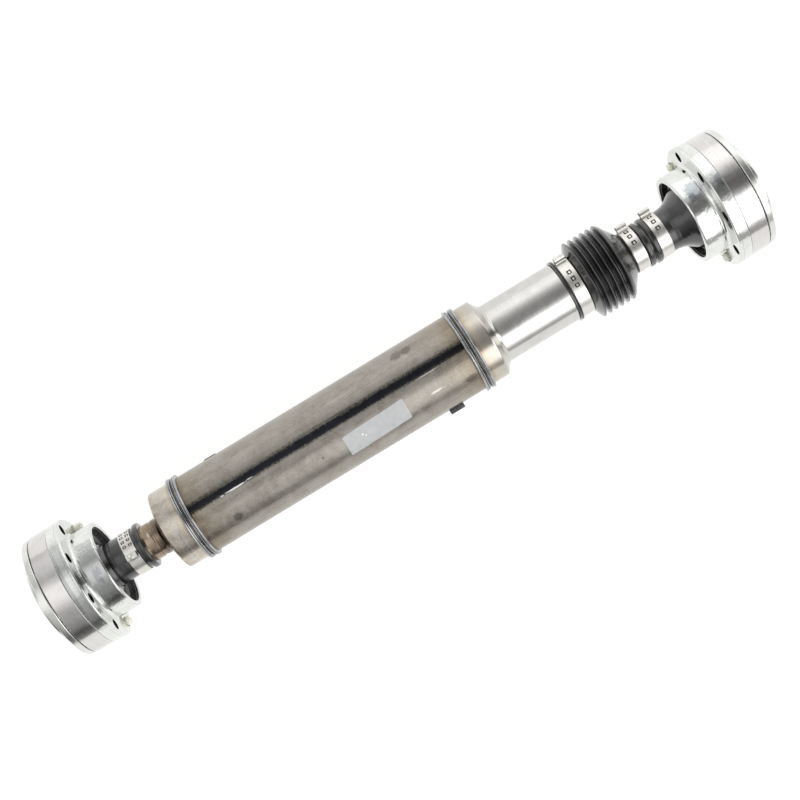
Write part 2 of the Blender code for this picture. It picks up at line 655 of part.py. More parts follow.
def make_slip_boot(sleeve_frame, shaft_frame, materials):
    """Bellows from the sleeve's seat to the sliding shaft, with a clamp at each end."""
    neck_end = -BOOT_NECK_REACH["slip"] - SLIP_NECK_GAP
    neck_seat_end = neck_end - NECK_LIP_LENGTH
    neck_clamp_start = neck_seat_end - CLAMP_LIP_GAP["slip"] - CLAMP_WIDTH
    neck_seat_start = neck_clamp_start - CLAMP_SIDE_GAP
    seat_bore = SLEEVE_SEAT_RADIUS + TOUCH_GAP
    seat_outer = seat_bore + SLIP_SEAT_WALL
    lip_start = SLEEVE_SEAT + TOUCH_GAP
    lip_end = lip_start + SLIP_LIP_LENGTH
    seat_end = lip_end + CLAMP_WIDTH + 2 * TOUCH_GAP
    neck_bore = SHAFT_RADIUS + TOUCH_GAP
    neck_outer = NECK_SEAT_RADIUS - BOOT_WALL / 4
    first = neck_seat_start - BELLOWS_CONE - (BELLOWS_COUNT - 1) * BELLOWS_PITCH
    crests = [first + index * BELLOWS_PITCH for index in range(BELLOWS_COUNT)]
    valley = BELLOWS_RADIUS - BELLOWS_DEPTH
    outer = [
        (lip_start, SLIP_LIP_RADIUS),
        (lip_end, SLIP_LIP_RADIUS),
        (lip_end, seat_outer),
        (seat_end, seat_outer),
        (seat_end + BOOT_WALL, valley),
    ]
    inner = [(seat_end + BELLOWS_WALL, seat_bore), (seat_end + BOOT_WALL, valley - BELLOWS_WALL)]
    for index, crest in enumerate(crests):
        if index:
            outer.append((crest - BELLOWS_PITCH / 2, valley))
            inner.append((crest - BELLOWS_PITCH / 2, valley - BELLOWS_WALL))
        outer.append((crest, BELLOWS_RADIUS))
        inner.append((crest, BELLOWS_RADIUS - BELLOWS_WALL))
    outer += [
        (neck_seat_start - BOOT_WALL / 2, neck_outer + BOOT_WALL / 2),
        (neck_seat_start, neck_outer),
        (neck_seat_end, neck_outer),
        (neck_seat_end, neck_outer + NECK_LIP_HEIGHT),
        (neck_end, neck_outer + NECK_LIP_HEIGHT),
    ]
    inner += [(neck_seat_start, neck_bore), (neck_end, neck_bore)]
    profile = [(lip_start, seat_bore)] + outer + inner[::-1]
    turned("slip_boot", profile, shaft_frame, materials["rubber"])
    make_clamp(
        "slip_boot_sleeve_clamp", sleeve_frame, lip_end + TOUCH_GAP, seat_outer,
        SLEEVE_CLAMP_EAR_ANGLE, materials,
    )
    make_clamp(
        "slip_boot_shaft_clamp", shaft_frame, neck_clamp_start, neck_outer, CLAMP_EAR_ANGLE["slip"],
        materials,
    )


def make_pad(name, centre, length, width, thickness, angle, material, steps):
    """A curved pad lying on the tube, with angle measured from +Z towards +Y."""
    inner = TUBE_RADIUS + TOUCH_GAP
    spread = width / TUBE_RADIUS
    low = centre - length / 2
    high = centre + length / 2
    outline = [
        (low, 0.0, inner),
        (high, 0.0, inner),
        (high, 0.0, inner + thickness),
        (low, 0.0, inner + thickness),
    ]
    shape = bmesh.new()
    sweep_outline(shape, outline, (1, 0, 0), -angle - spread / 2, spread, steps)
    finish_mesh(name, shape, None, material)


def make_ball_joint(end, shaft_frame, bolt_phase, materials):
    """One joint: inner race on the shaft, cage and balls on their pivot, housing on the next."""
    cage_pivot = make_frame(f"{end}_cage_pivot", shaft_frame)
    housing_pivot = make_frame(f"{end}_housing_pivot", cage_pivot)
    tracks = make_track_cutter(end, shaft_frame)
    drill = rods_along_x(
        f"{end}_bolt_drill", BOLT_HOLE_RADIUS, -2 * RACE_WIDTH, 2 * RACE_WIDTH,
        bolt_places(bolt_phase), housing_pivot,
    )
    make_inner_race(end, shaft_frame, tracks, materials)
    make_snap_ring(end, shaft_frame, materials)
    make_joint_boot(end, shaft_frame, materials)
    make_cage(end, cage_pivot, materials)
    make_balls(end, cage_pivot, materials)
    make_outer_race(end, housing_pivot, tracks, drill, materials)
    make_boot_can(end, housing_pivot, drill, materials)
    make_end_cap(end, housing_pivot, drill, materials)
    make_retaining_pins(end, housing_pivot, bolt_phase, materials)


def main():
    clear_scene()
    materials = {
        "tube": make_material("raw_tube_steel", (0.42, 0.39, 0.36), 1.0, 0.38),
        "machined": make_material("machined_steel", (0.52, 0.49, 0.46), 1.0, 0.28),
        "polished": make_material("polished_sleeve", (0.62, 0.61, 0.59), 1.0, 0.2),
        "race": make_material("race_steel", (0.5, 0.48, 0.46), 1.0, 0.3),
        "cage": make_material("cage_steel", (0.2, 0.2, 0.21), 1.0, 0.35),
        "ball": make_material("ball_steel", (0.7, 0.7, 0.7), 1.0, 0.08),
        "zinc": make_material("zinc_plate", (0.62, 0.64, 0.62), 1.0, 0.25),
        "cap": make_material("cap_steel", (0.6, 0.6, 0.58), 1.0, 0.3),
        "spring": make_material("spring_steel", (0.12, 0.12, 0.13), 0.9, 0.4),
        "clamp": make_material("clamp_stainless", (0.6, 0.59, 0.57), 1.0, 0.3),
        "rubber": make_material("boot_rubber", (0.03, 0.03, 0.033), 0.0, 0.42),
        "pin": make_material("pin_plastic", (0.85, 0.8, 0.62), 0.0, 0.45),
        "weight": make_material("weight_steel", (0.16, 0.16, 0.17), 0.9, 0.45),
        "label": make_material("label_film", (0.62, 0.62, 0.62), 0.0, 0.5),
    }
    plain_end = make_frame("plain_end", None, PLAIN_CENTRE, math.pi)
    sleeve_end = make_frame("sleeve_end", None, SLIP_CENTRE)
    slide = make_frame("slip_slide")
    slip_end = make_frame("slip_end", slide, SLIP_CENTRE)
    make_tube(materials)
    make_stub(plain_end, materials)
    make_sleeve(sleeve_end, materials)
    make_slip_shaft(slip_end, materials)
    make_slip_boot(sleeve_end, slip_end, materials)
    make_ball_joint("plain", plain_end, PLAIN_BOLT_PHASE, materials)
    make_ball_joint("slip", slip_end, SLIP_BOLT_PHASE, materials)
    for name, centre, length, angle in WEIGHTS:
        make_pad(
            name, centre, length, WEIGHT_WIDTH, WEIGHT_THICKNESS, angle, materials["weight"],
            WEIGHT_STEPS,
        )
    make_pad(
        "label", LABEL_CENTRE, LABEL_LENGTH, LABEL_WIDTH, LABEL_THICKNESS, LABEL_ANGLE,
        materials["label"], LABEL_STEPS,
    )


main()
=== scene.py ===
import bmesh
import bpy
import math
from mathutils import Matrix, Vector, noise


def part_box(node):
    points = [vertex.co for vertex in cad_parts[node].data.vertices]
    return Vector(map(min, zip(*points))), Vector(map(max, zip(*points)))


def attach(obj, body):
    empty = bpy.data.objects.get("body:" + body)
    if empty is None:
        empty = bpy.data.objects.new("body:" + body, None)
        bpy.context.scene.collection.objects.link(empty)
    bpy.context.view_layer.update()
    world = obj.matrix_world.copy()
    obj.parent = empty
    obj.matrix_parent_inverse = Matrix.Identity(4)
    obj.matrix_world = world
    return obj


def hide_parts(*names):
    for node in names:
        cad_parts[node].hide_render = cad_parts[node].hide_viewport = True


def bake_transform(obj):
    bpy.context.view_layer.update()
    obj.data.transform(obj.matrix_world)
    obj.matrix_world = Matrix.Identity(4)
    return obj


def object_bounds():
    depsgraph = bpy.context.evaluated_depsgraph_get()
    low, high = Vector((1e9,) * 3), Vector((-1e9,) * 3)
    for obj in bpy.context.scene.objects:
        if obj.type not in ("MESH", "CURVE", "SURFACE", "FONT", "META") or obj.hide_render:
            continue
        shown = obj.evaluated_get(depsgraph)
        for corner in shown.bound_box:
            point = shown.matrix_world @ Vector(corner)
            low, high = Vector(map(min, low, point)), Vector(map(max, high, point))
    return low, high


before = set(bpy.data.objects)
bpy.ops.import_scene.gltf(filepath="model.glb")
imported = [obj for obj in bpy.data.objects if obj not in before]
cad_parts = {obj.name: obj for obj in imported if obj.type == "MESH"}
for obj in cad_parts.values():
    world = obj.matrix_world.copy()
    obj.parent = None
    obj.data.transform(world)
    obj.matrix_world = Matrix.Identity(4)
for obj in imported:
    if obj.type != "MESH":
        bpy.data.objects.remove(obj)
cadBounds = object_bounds()
mm = 0.001
tau = math.tau
sharpAngle = 32


def middleX(node):
    low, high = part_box(node)
    return (low[0] + high[0]) / 2


# where the two joints and the two welds lie along the shaft
plainX = middleX("plain_outer_race")
slipX = middleX("slip_outer_race")
tubeLow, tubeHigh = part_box("tube")
plainWeldX = tubeLow[0] - 0.15 * mm
slipWeldX = tubeHigh[0] + 0.15 * mm
floorZ = cadBounds[0][2]

# each end is drawn with +X pointing outboard
places = {
    "plain": Matrix.Translation((plainX, 0, 0)) @ Matrix.Rotation(math.pi, 4, "Z"),
    "slip": Matrix.Translation((slipX, 0, 0)),
    "plainWeld": Matrix.Translation((plainWeldX, 0, 0)) @ Matrix.Rotation(math.pi, 4, "Z"),
    "slipWeld": Matrix.Translation((slipWeldX, 0, 0)),
    "middle": Matrix.Identity(4),
}
shaftBody = {"plain": "shaft_tube", "slip": "slip_shaft_body"}


# nodes for the finishes

def add(tree, kind, inputs=None, **settings):
    made = tree.nodes.new("ShaderNode" + kind)
    for key, value in settings.items():
        setattr(made, key, value)
    for key, value in (inputs or {}).items():
        if isinstance(value, bpy.types.NodeSocket):
            tree.links.new(value, made.inputs[key])
        else:
            made.inputs[key].default_value = value
    return made


def ramp(tree, factor, stops):
    made = add(tree, "ValToRGB", {"Fac": factor})
    line = made.color_ramp
    for index, (position, colour) in enumerate(stops):
        stop = line.elements[index] if index < 2 else line.elements.new(position)
        stop.position = position
        stop.color = (*colour, 1.0) if isinstance(colour, tuple) else (colour, colour, colour, 1.0)
    return made.outputs["Color"]


def calc(tree, operation, a, b=0.0):
    return add(tree, "Math", {0: a, 1: b}, operation=operation).outputs[0]


def rangeOf(tree, value, fromLow, fromHigh, low, high):
    return add(tree, "MapRange", {
        "Value": value, "From Min": fromLow, "From Max": fromHigh, "To Min": low, "To Max": high,
    }).outputs[0]


def tint(tree, how, factor, a, b):
    made = add(tree, "Mix", {0: factor, 6: a, 7: b}, data_type="RGBA", blend_type=how)
    return made.outputs[2]


def finish(name, look):
    # one recipe for every finish: clouds of two shades, turned or drawn lines, fine grain, tints and marks
    material = bpy.data.materials.new(name)
    material.use_nodes = True
    tree = material.node_tree
    shader = tree.nodes["Principled BSDF"]
    place = add(tree, "TexCoord").outputs["Object"]
    axis = add(tree, "SeparateXYZ", {0: place})
    alongX, y, z = axis.outputs[0], axis.outputs[1], axis.outputs[2]
    angle = calc(tree, "ARCTAN2", y, z)
    cloud = add(tree, "TexNoise", {
        "Vector": place, "Scale": look["cloud"], "Detail": 6.0, "Roughness": 0.62, "Distortion": 0.6,
    }).outputs[0]
    colour = ramp(tree, cloud, [(0.36, look["shade"]), (0.64, look["light"])])
    fine = add(tree, "TexNoise", {
        "Vector": place, "Scale": look.get("grain", 900.0), "Detail": 3.0, "Roughness": 0.7,
    }).outputs[0]
    speckle = ramp(tree, fine, [(0.3, look.get("speckle", 0.9)), (0.7, 1.0)])
    colour = tint(tree, "MULTIPLY", 1.0, colour, speckle)
    lines = add(tree, "VectorMath", {0: place, 1: look.get("lines", (1500.0, 12.0, 12.0))},
                operation="MULTIPLY")
    drawn = add(tree, "TexNoise",
                {"Vector": lines.outputs[0], "Scale": 1.0, "Detail": 4.0, "Roughness": 0.6}).outputs[0]
    lineShade = ramp(tree, drawn, [(0.3, look.get("lineShade", 0.88)), (0.7, 1.0)])
    colour = tint(tree, "MULTIPLY", 1.0, colour, lineShade)
    if "around" in look:
        # shade by the angle round the shaft, from +Z towards +Y, with a ragged edge
        ragged = calc(tree, "ADD", angle,
                      calc(tree, "MULTIPLY", calc(tree, "SUBTRACT", drawn, 0.5), look["ragged"]))
        ragged = calc(tree, "ADD", ragged,
                      calc(tree, "MULTIPLY", calc(tree, "SUBTRACT", fine, 0.5), look["fray"]))
        turn = rangeOf(tree, ragged, -math.pi, math.pi, 0.0, 1.0)
        stops = [(degrees / 360 + 0.5, shade) for degrees, shade in look["around"]]
        colour = tint(tree, "MULTIPLY", 1.0, colour, ramp(tree, turn, stops))
    for low, high, stops in look.get("along", ()):
        # heat tint along the shaft, in mm, and on the stub painted shade in the fillet
        wander = calc(tree, "MULTIPLY", calc(tree, "SUBTRACT", cloud, 0.5), 5 * mm)
        run = rangeOf(tree, calc(tree, "ADD", alongX, wander), low * mm, high * mm, 0.0, 1.0)
        colour = tint(tree, "MULTIPLY", 1.0, colour, ramp(tree, run, stops))
    for x, degrees, length, width, shade, amount in look.get("marks", ()):
        # spots, smudges, scratches, painted highlights and painted shade on a round piece:
        # x and half length in mm, angle and half width in degrees
        dx = calc(tree, "DIVIDE", calc(tree, "SUBTRACT", alongX, x * mm), length * mm)
        da = calc(tree, "DIVIDE", calc(tree, "SUBTRACT", angle, math.radians(degrees)), math.radians(width))
        far = calc(tree, "SQRT",
                   calc(tree, "ADD", calc(tree, "MULTIPLY", dx, dx), calc(tree, "MULTIPLY", da, da)))
        far = calc(tree, "ADD", far, calc(tree, "SUBTRACT", fine, 0.5))
        mask = rangeOf(tree, far, 1.1, 0.75, 0.0, amount)
        colour = tint(tree, "MIX", mask, colour, (*shade, 1.0))
    tree.links.new(colour, shader.inputs["Base Color"])
    shader.inputs["Metallic"].default_value = look.get("metallic", 1.0)
    roughLow, roughHigh = look["rough"]
    mixed = calc(tree, "ADD", calc(tree, "MULTIPLY", cloud, 0.6), calc(tree, "MULTIPLY", drawn, 0.4))
    tree.links.new(rangeOf(tree, mixed, 0.35, 0.65, roughLow, roughHigh), shader.inputs["Roughness"])
    scale, depth = look.get("dents", (100.0, 0.0))
    wave = add(tree, "TexNoise",
               {"Vector": place, "Scale": scale, "Detail": 2.5, "Roughness": 0.55}).outputs[0]
    waveBump = add(tree, "Bump", {"Height": wave, "Distance": depth * mm, "Strength": 1.0})
    lineBump = add(tree, "Bump", {
        "Height": drawn, "Distance": look.get("lineDepth", 0.02) * mm, "Strength": 1.0,
        "Normal": waveBump.outputs[0],
    })
    grainBump = add(tree, "Bump", {
        "Height": fine, "Distance": look.get("grainDepth", 0.02) * mm, "Strength": 1.0,
        "Normal": lineBump.outputs[0],
    })
    tree.links.new(grainBump.outputs[0], shader.inputs["Normal"])
    for socket, value in look.get("sockets", {}).items():
        shader.inputs[socket].default_value = value
    return material


tubeSteel = finish("rawTubeSteel", {
    "light": (0.43, 0.4, 0.36), "shade": (0.345, 0.315, 0.275), "cloud": 75.0,
    "grain": 800.0, "speckle": 0.76, "lines": (22.0, 1100.0, 1100.0), "lineShade": 0.8,
    "rough": (0.24, 0.34), "lineDepth": 0.02, "grainDepth": 0.03, "ragged": 0.13, "fray": 0.16,
    "dents": (140.0, 0.12),
    # the tube's own weld seam is a dark blue line of scale
    "around": [(-180, 1.0), (1.6, 1.0), (3.8, (0.24, 0.24, 0.26)), (5.4, (0.07, 0.08, 0.11)),
               (12.6, (0.055, 0.065, 0.09)),
               (15.4, (0.34, 0.34, 0.34)), (20, 0.84), (40, 1.0)],
    "along": [(-181.2, -150.0,
               [(0.0, (0.5, 0.42, 0.34)), (0.1, (0.62, 0.52, 0.42)), (0.25, (0.85, 0.8, 0.72)),
                                (0.7, (1.0, 0.98, 0.95)), (1.0, 1.0)]),
              (30.0, 61.5, [(0.0, 1.0), (0.45, (0.98, 0.95, 0.9)), (0.8, (0.85, 0.78, 0.68)),
                            (0.93, (0.6, 0.52, 0.44)), (1.0, (0.5, 0.44, 0.4))])],
    # x, angle, half length, half width, shade and strength of each spot, scratch and painted highlight
    # the bright streaks along the seam's lower edge are scratches carrying a painted highlight, a glint
    "marks": [(-139.0, 3.6, 9.0, 1.2, (0.9, 0.9, 0.88), 0.85),
              (-150.5, 3.0, 1.6, 0.9, (0.85, 0.85, 0.84), 0.7),
              (-127.0, 4.6, 3.0, 0.8, (0.75, 0.75, 0.73), 0.7), (24.6, 1.4, 9.5, 0.9, (0.8, 0.78, 0.75), 0.7),
              (24.0, -26.0, 5.0, 1.6, (0.75, 0.72, 0.68), 0.55),
              (-149.0, -33.0, 3.7, 6.6, (0.11, 0.1, 0.085), 0.75),
              (11.5, 50.0, 4.8, 8.5, (0.15, 0.135, 0.12), 0.7),
              (20.0, 49.0, 4.4, 8.0, (0.13, 0.12, 0.105), 0.7),
              (51.5, -37.0, 5.0, 5.5, (0.12, 0.1, 0.085), 0.65),
              (-73.0, -24.0, 0.7, 1.4, (0.05, 0.05, 0.05), 0.8),
              (-40.0, 38.0, 16.0, 1.4, (0.5, 0.48, 0.45), 0.3)],
})
stubSteel = finish("heatTintAndPaintedLightSteel", {
    "light": (0.66, 0.62, 0.56), "shade": (0.52, 0.48, 0.43), "cloud": 110.0, "grain": 700.0, "speckle": 0.8,
    "lines": (1100.0, 14.0, 14.0), "lineShade": 0.86, "rough": (0.13, 0.26), "lineDepth": 0.012,
    # the brown on the shaft and at the weld end is heat tint; the near-black stretch from 0.7 to 0.775, in
    # the fillet under the collar, is painted shade
    "along": [(-283.0, -181.4, [(0.0, 1.0), (0.55, (0.74, 0.64, 0.53)), (0.64, (0.66, 0.56, 0.45)),
                                (0.7, (0.5, 0.42, 0.35)), (0.735, (0.27, 0.22, 0.18)),
                                (0.775, (0.4, 0.35, 0.3)),
                                (0.81, (0.9, 0.86, 0.8)), (0.9, 1.0), (0.95, (1.0, 0.92, 0.82)),
                                (1.0, (0.6, 0.5, 0.42))])],
    # dark patches beside the boot's lip and a brown one at -214; the pale patch at -216 is a painted
    # highlight
    "marks": [(-219.0, -30.0, 1.6, 8.0, (0.12, 0.09, 0.07), 0.7),
              (-216.0, 22.0, 1.2, 8.0, (0.75, 0.72, 0.66), 0.6),
              (-221.5, 12.0, 1.8, 14.0, (0.14, 0.1, 0.08), 0.65),
              (-220.5, -55.0, 2.0, 12.0, (0.1, 0.08, 0.07), 0.6),
              (-217.0, 58.0, 2.2, 16.0, (0.2, 0.16, 0.13), 0.6),
              (-214.0, -8.0, 1.0, 12.0, (0.3, 0.22, 0.15), 0.5)],
})
rodSteel = finish("greasedRodSteel", {
    "light": (0.25, 0.24, 0.225), "shade": (0.13, 0.125, 0.12), "cloud": 110.0,
    "lines": (1100.0, 14.0, 14.0), "lineShade": 0.85, "rough": (0.2, 0.34), "lineDepth": 0.012,
})
sleeveSteel = finish("groundSleeveSteel", {
    "light": (0.66, 0.65, 0.63), "shade": (0.59, 0.58, 0.56), "cloud": 70.0,
    "lines": (1600.0, 8.0, 8.0), "lineShade": 0.92, "rough": (0.13, 0.2), "lineDepth": 0.012,
    "along": [(61.7, 90.0, [(0.0, (0.42, 0.32, 0.24)), (0.12, (0.68, 0.55, 0.42)), (0.26, (0.84, 0.77, 0.67)),
                            (0.5, (0.86, 0.82, 0.77)), (0.7, (0.95, 0.93, 0.9)), (1.0, 1.0)])],
})
raceSteel = finish("turnedRaceSteel", {
    "light": (0.71, 0.69, 0.68), "shade": (0.64, 0.62, 0.605), "cloud": 60.0, "dents": (90.0, 0.12),
    "lines": (1300.0, 12.0, 12.0), "lineShade": 0.93, "rough": (0.1, 0.17), "lineDepth": 0.008,
})
zincPlate = finish("brightZincPlate", {
    "light": (0.78, 0.79, 0.765), "shade": (0.69, 0.705, 0.68), "cloud": 60.0, "grain": 600.0,
    "speckle": 0.93,
    "lines": (500.0, 40.0, 40.0), "lineShade": 0.94, "rough": (0.1, 0.19), "lineDepth": 0.008,
    "grainDepth": 0.02,
    "dents": (130.0, 0.3),
    # painted shade: the plain end's can is darker over its front and over the band by the race; it also has
    # an old ink smudge and a darker line near the band's outer edge
    "marks": [(-257.0, -4.0, 15.5, 44.0, (0.36, 0.37, 0.36), 0.78),
              (-275.0, 4.0, 6.5, 48.0, (0.5, 0.51, 0.5), 0.6),
              (-255.6, 3.0, 1.6, 6.0, (0.2, 0.2, 0.27), 0.45),
              (-258.8, -1.0, 2.2, 9.0, (0.2, 0.2, 0.27), 0.4),
              (-256.6, -9.0, 1.4, 5.0, (0.2, 0.2, 0.27), 0.45),
              (-277.6, 2.0, 1.8, 34.0, (0.24, 0.25, 0.26), 0.5),
              # painted reflections: dark blue-black patches on the slip end's can and beside its race
              (261.0, 24.0, 7.0, 13.0, (0.22, 0.25, 0.29), 0.6),
              (257.5, 17.0, 3.0, 7.0, (0.15, 0.18, 0.22), 0.55),
              (278.5, 13.0, 5.0, 7.0, (0.18, 0.22, 0.26), 0.55),
              (281.5, 8.0, 2.0, 5.0, (0.14, 0.17, 0.2), 0.5)],
})
capSteel = finish("platedCapSteel", {
    "light": (0.74, 0.75, 0.72), "shade": (0.66, 0.67, 0.64), "cloud": 50.0, "grain": 500.0, "speckle": 0.95,
    "lines": (500.0, 25.0, 25.0), "lineShade": 0.95, "rough": (0.18, 0.27), "grainDepth": 0.015,
    "dents": (90.0, 0.2),
})
clampSteel = finish("stainlessBand", {
    "light": (0.78, 0.76, 0.72), "shade": (0.69, 0.67, 0.63), "cloud": 110.0,
    "lines": (2000.0, 20.0, 20.0), "lineShade": 0.9, "rough": (0.24, 0.34), "lineDepth": 0.01,
})
flashSteel = finish("weldFlashScale", {
    "light": (0.55, 0.56, 0.565), "shade": (0.38, 0.39, 0.4), "cloud": 120.0, "grain": 1200.0,
    "speckle": 0.85,
    "lines": (1600.0, 30.0, 30.0), "lineShade": 0.62, "rough": (0.18, 0.3), "lineDepth": 0.03,
    "grainDepth": 0.03,
})
weightSteel = finish("balanceWeightSteel", {
    "light": (0.16, 0.16, 0.165), "shade": (0.07, 0.07, 0.075), "cloud": 180.0, "speckle": 0.8,
    "rough": (0.38, 0.55), "metallic": 0.85, "grainDepth": 0.06,
})
bearingSteel = finish("chromeBallSteel", {
    "light": (0.74, 0.74, 0.74), "shade": (0.68, 0.68, 0.68), "cloud": 80.0, "rough": (0.05, 0.1),
    "lineShade": 0.98, "speckle": 0.97, "lineDepth": 0.0, "grainDepth": 0.004,
})
cageSteel = finish("hardenedCageSteel", {
    "light": (0.24, 0.235, 0.23), "shade": (0.15, 0.15, 0.155), "cloud": 90.0, "rough": (0.28, 0.42),
    "grainDepth": 0.03,
})
springSteel = finish("blackSpringSteel", {
    "light": (0.13, 0.13, 0.14), "shade": (0.07, 0.07, 0.075), "cloud": 200.0, "rough": (0.3, 0.45),
    "metallic": 0.9,
})
bootRubber = finish("bootRubber", {
    "light": (0.011, 0.011, 0.0115), "shade": (0.005, 0.005, 0.0055), "cloud": 60.0, "grain": 1600.0,
    "speckle": 0.8,
    "rough": (0.2, 0.32), "metallic": 0.0, "lineDepth": 0.0, "grainDepth": 0.03, "lineShade": 0.9,
    "dents": (120.0, 0.4),
    "sockets": {"Specular IOR Level": 0.6, "Coat Weight": 0.75, "Coat Roughness": 0.1},
})
pinPlastic = finish("creamPinPlastic", {
    "light": (0.9, 0.885, 0.78), "shade": (0.84, 0.825, 0.7), "cloud": 120.0, "rough": (0.3, 0.42),
    "metallic": 0.0,
    "speckle": 0.97, "lineShade": 0.97,
})
labelFilm = finish("blankLabelFilm", {
    "light": (0.56, 0.565, 0.57), "shade": (0.49, 0.495, 0.5), "cloud": 160.0, "rough": (0.36, 0.5),
    "metallic": 0.15,
    "lineShade": 0.95, "speckle": 0.93,
    "marks": [(-39.0, -24.0, 0.7, 1.3, (0.95, 0.95, 0.95), 1.0),
              (-37.2, -27.5, 0.6, 1.1, (0.95, 0.95, 0.95), 1.0)],
})
print("finishes made")


# shapes

def onCircle(x, radius, angle):
    # metres, from mm along the shaft, mm out from its axis and the angle from +Z towards +Y
    return (x * mm, radius * mm * math.sin(angle), radius * mm * math.cos(angle))


def gather(shape, part):
    # add a finished part's mesh to a bigger one
    mesh = bpy.data.meshes.new("part")
    part.to_mesh(mesh)
    part.free()
    shape.from_mesh(mesh)
    bpy.data.meshes.remove(mesh)


def toPiece(name, shape, material, sharp=sharpAngle):
    bmesh.ops.recalc_face_normals(shape, faces=shape.faces)
    mesh = bpy.data.meshes.new(name)
    shape.to_mesh(mesh)
    shape.free()
    mesh.shade_smooth()
    mesh.set_sharp_from_angle(angle=math.radians(sharp))
    piece = bpy.data.objects.new(name, mesh)
    bpy.context.scene.collection.objects.link(piece)
    if material:
        mesh.materials.append(material)
    return piece


def soften(points, closed=True, steps=5):
    # round the corners that carry a third number, their radius in mm
    drawn = []
    for index, (x, r, *radius) in enumerate(points):
        atEnd = not closed and index in (0, len(points) - 1)
        if not radius or atEnd:
            drawn.append((x, r))
            continue
        here = Vector((x, r))
        back = Vector(points[index - 1][:2]) - here
        on = Vector(points[(index + 1) % len(points)][:2]) - here
        half = back.angle(on) / 2
        reach = min(radius[0] / math.tan(half), 0.49 * back.length, 0.49 * on.length)
        start, end = here + back.normalized() * reach, here + on.normalized() * reach
        for step in range(steps + 1):
            t = step / steps
            drawn.append(tuple(start.lerp(here, t).lerp(here.lerp(end, t), t)))
    return drawn


def brace(points, closed, edge=0.25):
    # extra rings beside every corner keep the long faces flat
    braced = []
    last = len(points) if closed else len(points) - 1
    for index in range(last):
        here, on = Vector(points[index]), Vector(points[(index + 1) % len(points)])
        braced.append(tuple(here))
        length = (on - here).length
        if length > 4 * edge:
            braced += [tuple(here.lerp(on, edge / length)), tuple(on.lerp(here, edge / length))]
    if not closed:
        braced.append(points[-1])
    return braced


def latheShape(profile, slices=128, reshape=None):
    # turn (x, radius) points in mm about the shaft's axis
    closed = profile[0][1] > 0
    profile = brace(profile, closed)
    shape = bmesh.new()
    rings = []
    for x, radius in profile:
        if radius <= 0:
            rings.append([shape.verts.new((x * mm, 0, 0))])
            continue
        ring = []
        for step in range(slices):
            angle = tau * step / slices
            px, pr = reshape(x, radius, angle) if reshape else (x, radius)
            ring.append(shape.verts.new(onCircle(px, pr, angle)))
        rings.append(ring)
    pairs = list(zip(rings, rings[1:]))
    if closed:
        pairs.append((rings[-1], rings[0]))
    for a, b in pairs:
        for step in range(slices):
            on = (step + 1) % slices
            corners = [a[step % len(a)], a[on % len(a)], b[on % len(b)], b[step % len(b)]]
            shape.faces.new(list(dict.fromkeys(corners)))
    return shape


def lathe(name, profile, material, place="middle", slices=128, reshape=None):
    shape = latheShape(profile, slices, reshape)
    bmesh.ops.transform(shape, matrix=places[place], verts=shape.verts)
    return toPiece(name, shape, material)


def cutAway(piece, cutters):
    # cut every cutter out of the piece and apply the cuts
    for cutter in cutters:
        step = piece.modifiers.new(cutter.name, "BOOLEAN")
        step.operation, step.solver, step.object = "DIFFERENCE", "EXACT", cutter
    settle(piece)


def settle(piece):
    made = bpy.data.meshes.new_from_object(piece.evaluated_get(bpy.context.evaluated_depsgraph_get()))
    piece.modifiers.clear()
    old, piece.data = piece.data, made
    bpy.data.meshes.remove(old)
    made.shade_smooth()
    made.set_sharp_from_angle(angle=math.radians(sharpAngle))


def rods(name, spots, radius, low, high, place, sides=36):
    shape = bmesh.new()
    for angle, pitch in spots:
        centre = Matrix.Translation(onCircle((low + high) / 2, pitch, angle))
        stand = places[place] @ centre @ Matrix.Rotation(math.pi / 2, 4, "Y")
        bmesh.ops.create_cone(
            shape, cap_ends=True, segments=sides, radius1=radius * mm, radius2=radius * mm,
            depth=(high - low) * mm, matrix=stand,
        )
    return toPiece(name, shape, None)


def splined(low, high, radius, depth, teeth):
    # straight teeth on one stretch of a lathe profile
    def reshape(x, r, angle):
        if low - 0.01 <= x <= high + 0.01 and abs(r - radius) < 0.05:
            tooth = max(-1.0, min(1.0, 2.2 * math.cos(teeth * angle)))
            r -= depth * (0.5 - 0.5 * tooth)
        return x, r
    return reshape


def bending(x, angle, reach, seed):
    # slow uneven swell of a curl of flash
    spin = Vector((math.cos(angle) * 2.2, math.sin(angle) * 2.2, seed + x * 0.35))
    quick = Vector((math.cos(angle) * 9.0, math.sin(angle) * 9.0, seed * 3 + x * 0.8))
    swell = noise.noise(spin) * reach + noise.noise(quick) * reach * 0.45
    return swell


def put(piece, body, slotName, *nodes):
    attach(piece, body)
    if nodes:
        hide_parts(*nodes)
    return piece


def dress(node, material):
    # a CAD piece that keeps its own shape
    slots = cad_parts[node].data.materials
    slots.clear()
    slots.append(material)


# tube, its flash and its two weldments

tube = {"radius": 31.75, "bore": 29.75, "end": 0.3}
tubeEnds = (tubeLow[0] / mm, tubeHigh[0] / mm)


def makeTube():
    low, high = tubeEnds
    ring = soften([
        (low, tube["bore"]), (low, tube["radius"], tube["end"]),
        (high, tube["radius"], tube["end"]), (high, tube["bore"]),
    ])
    piece = lathe("tube_wall", ring, tubeSteel, slices=160)
    put(piece, "shaft_tube", "tube_steel", "tube")


flash = {"foot": 31.6, "middle": 2.3, "half": 1.9, "tall": 2.95, "uneven": 0.07}


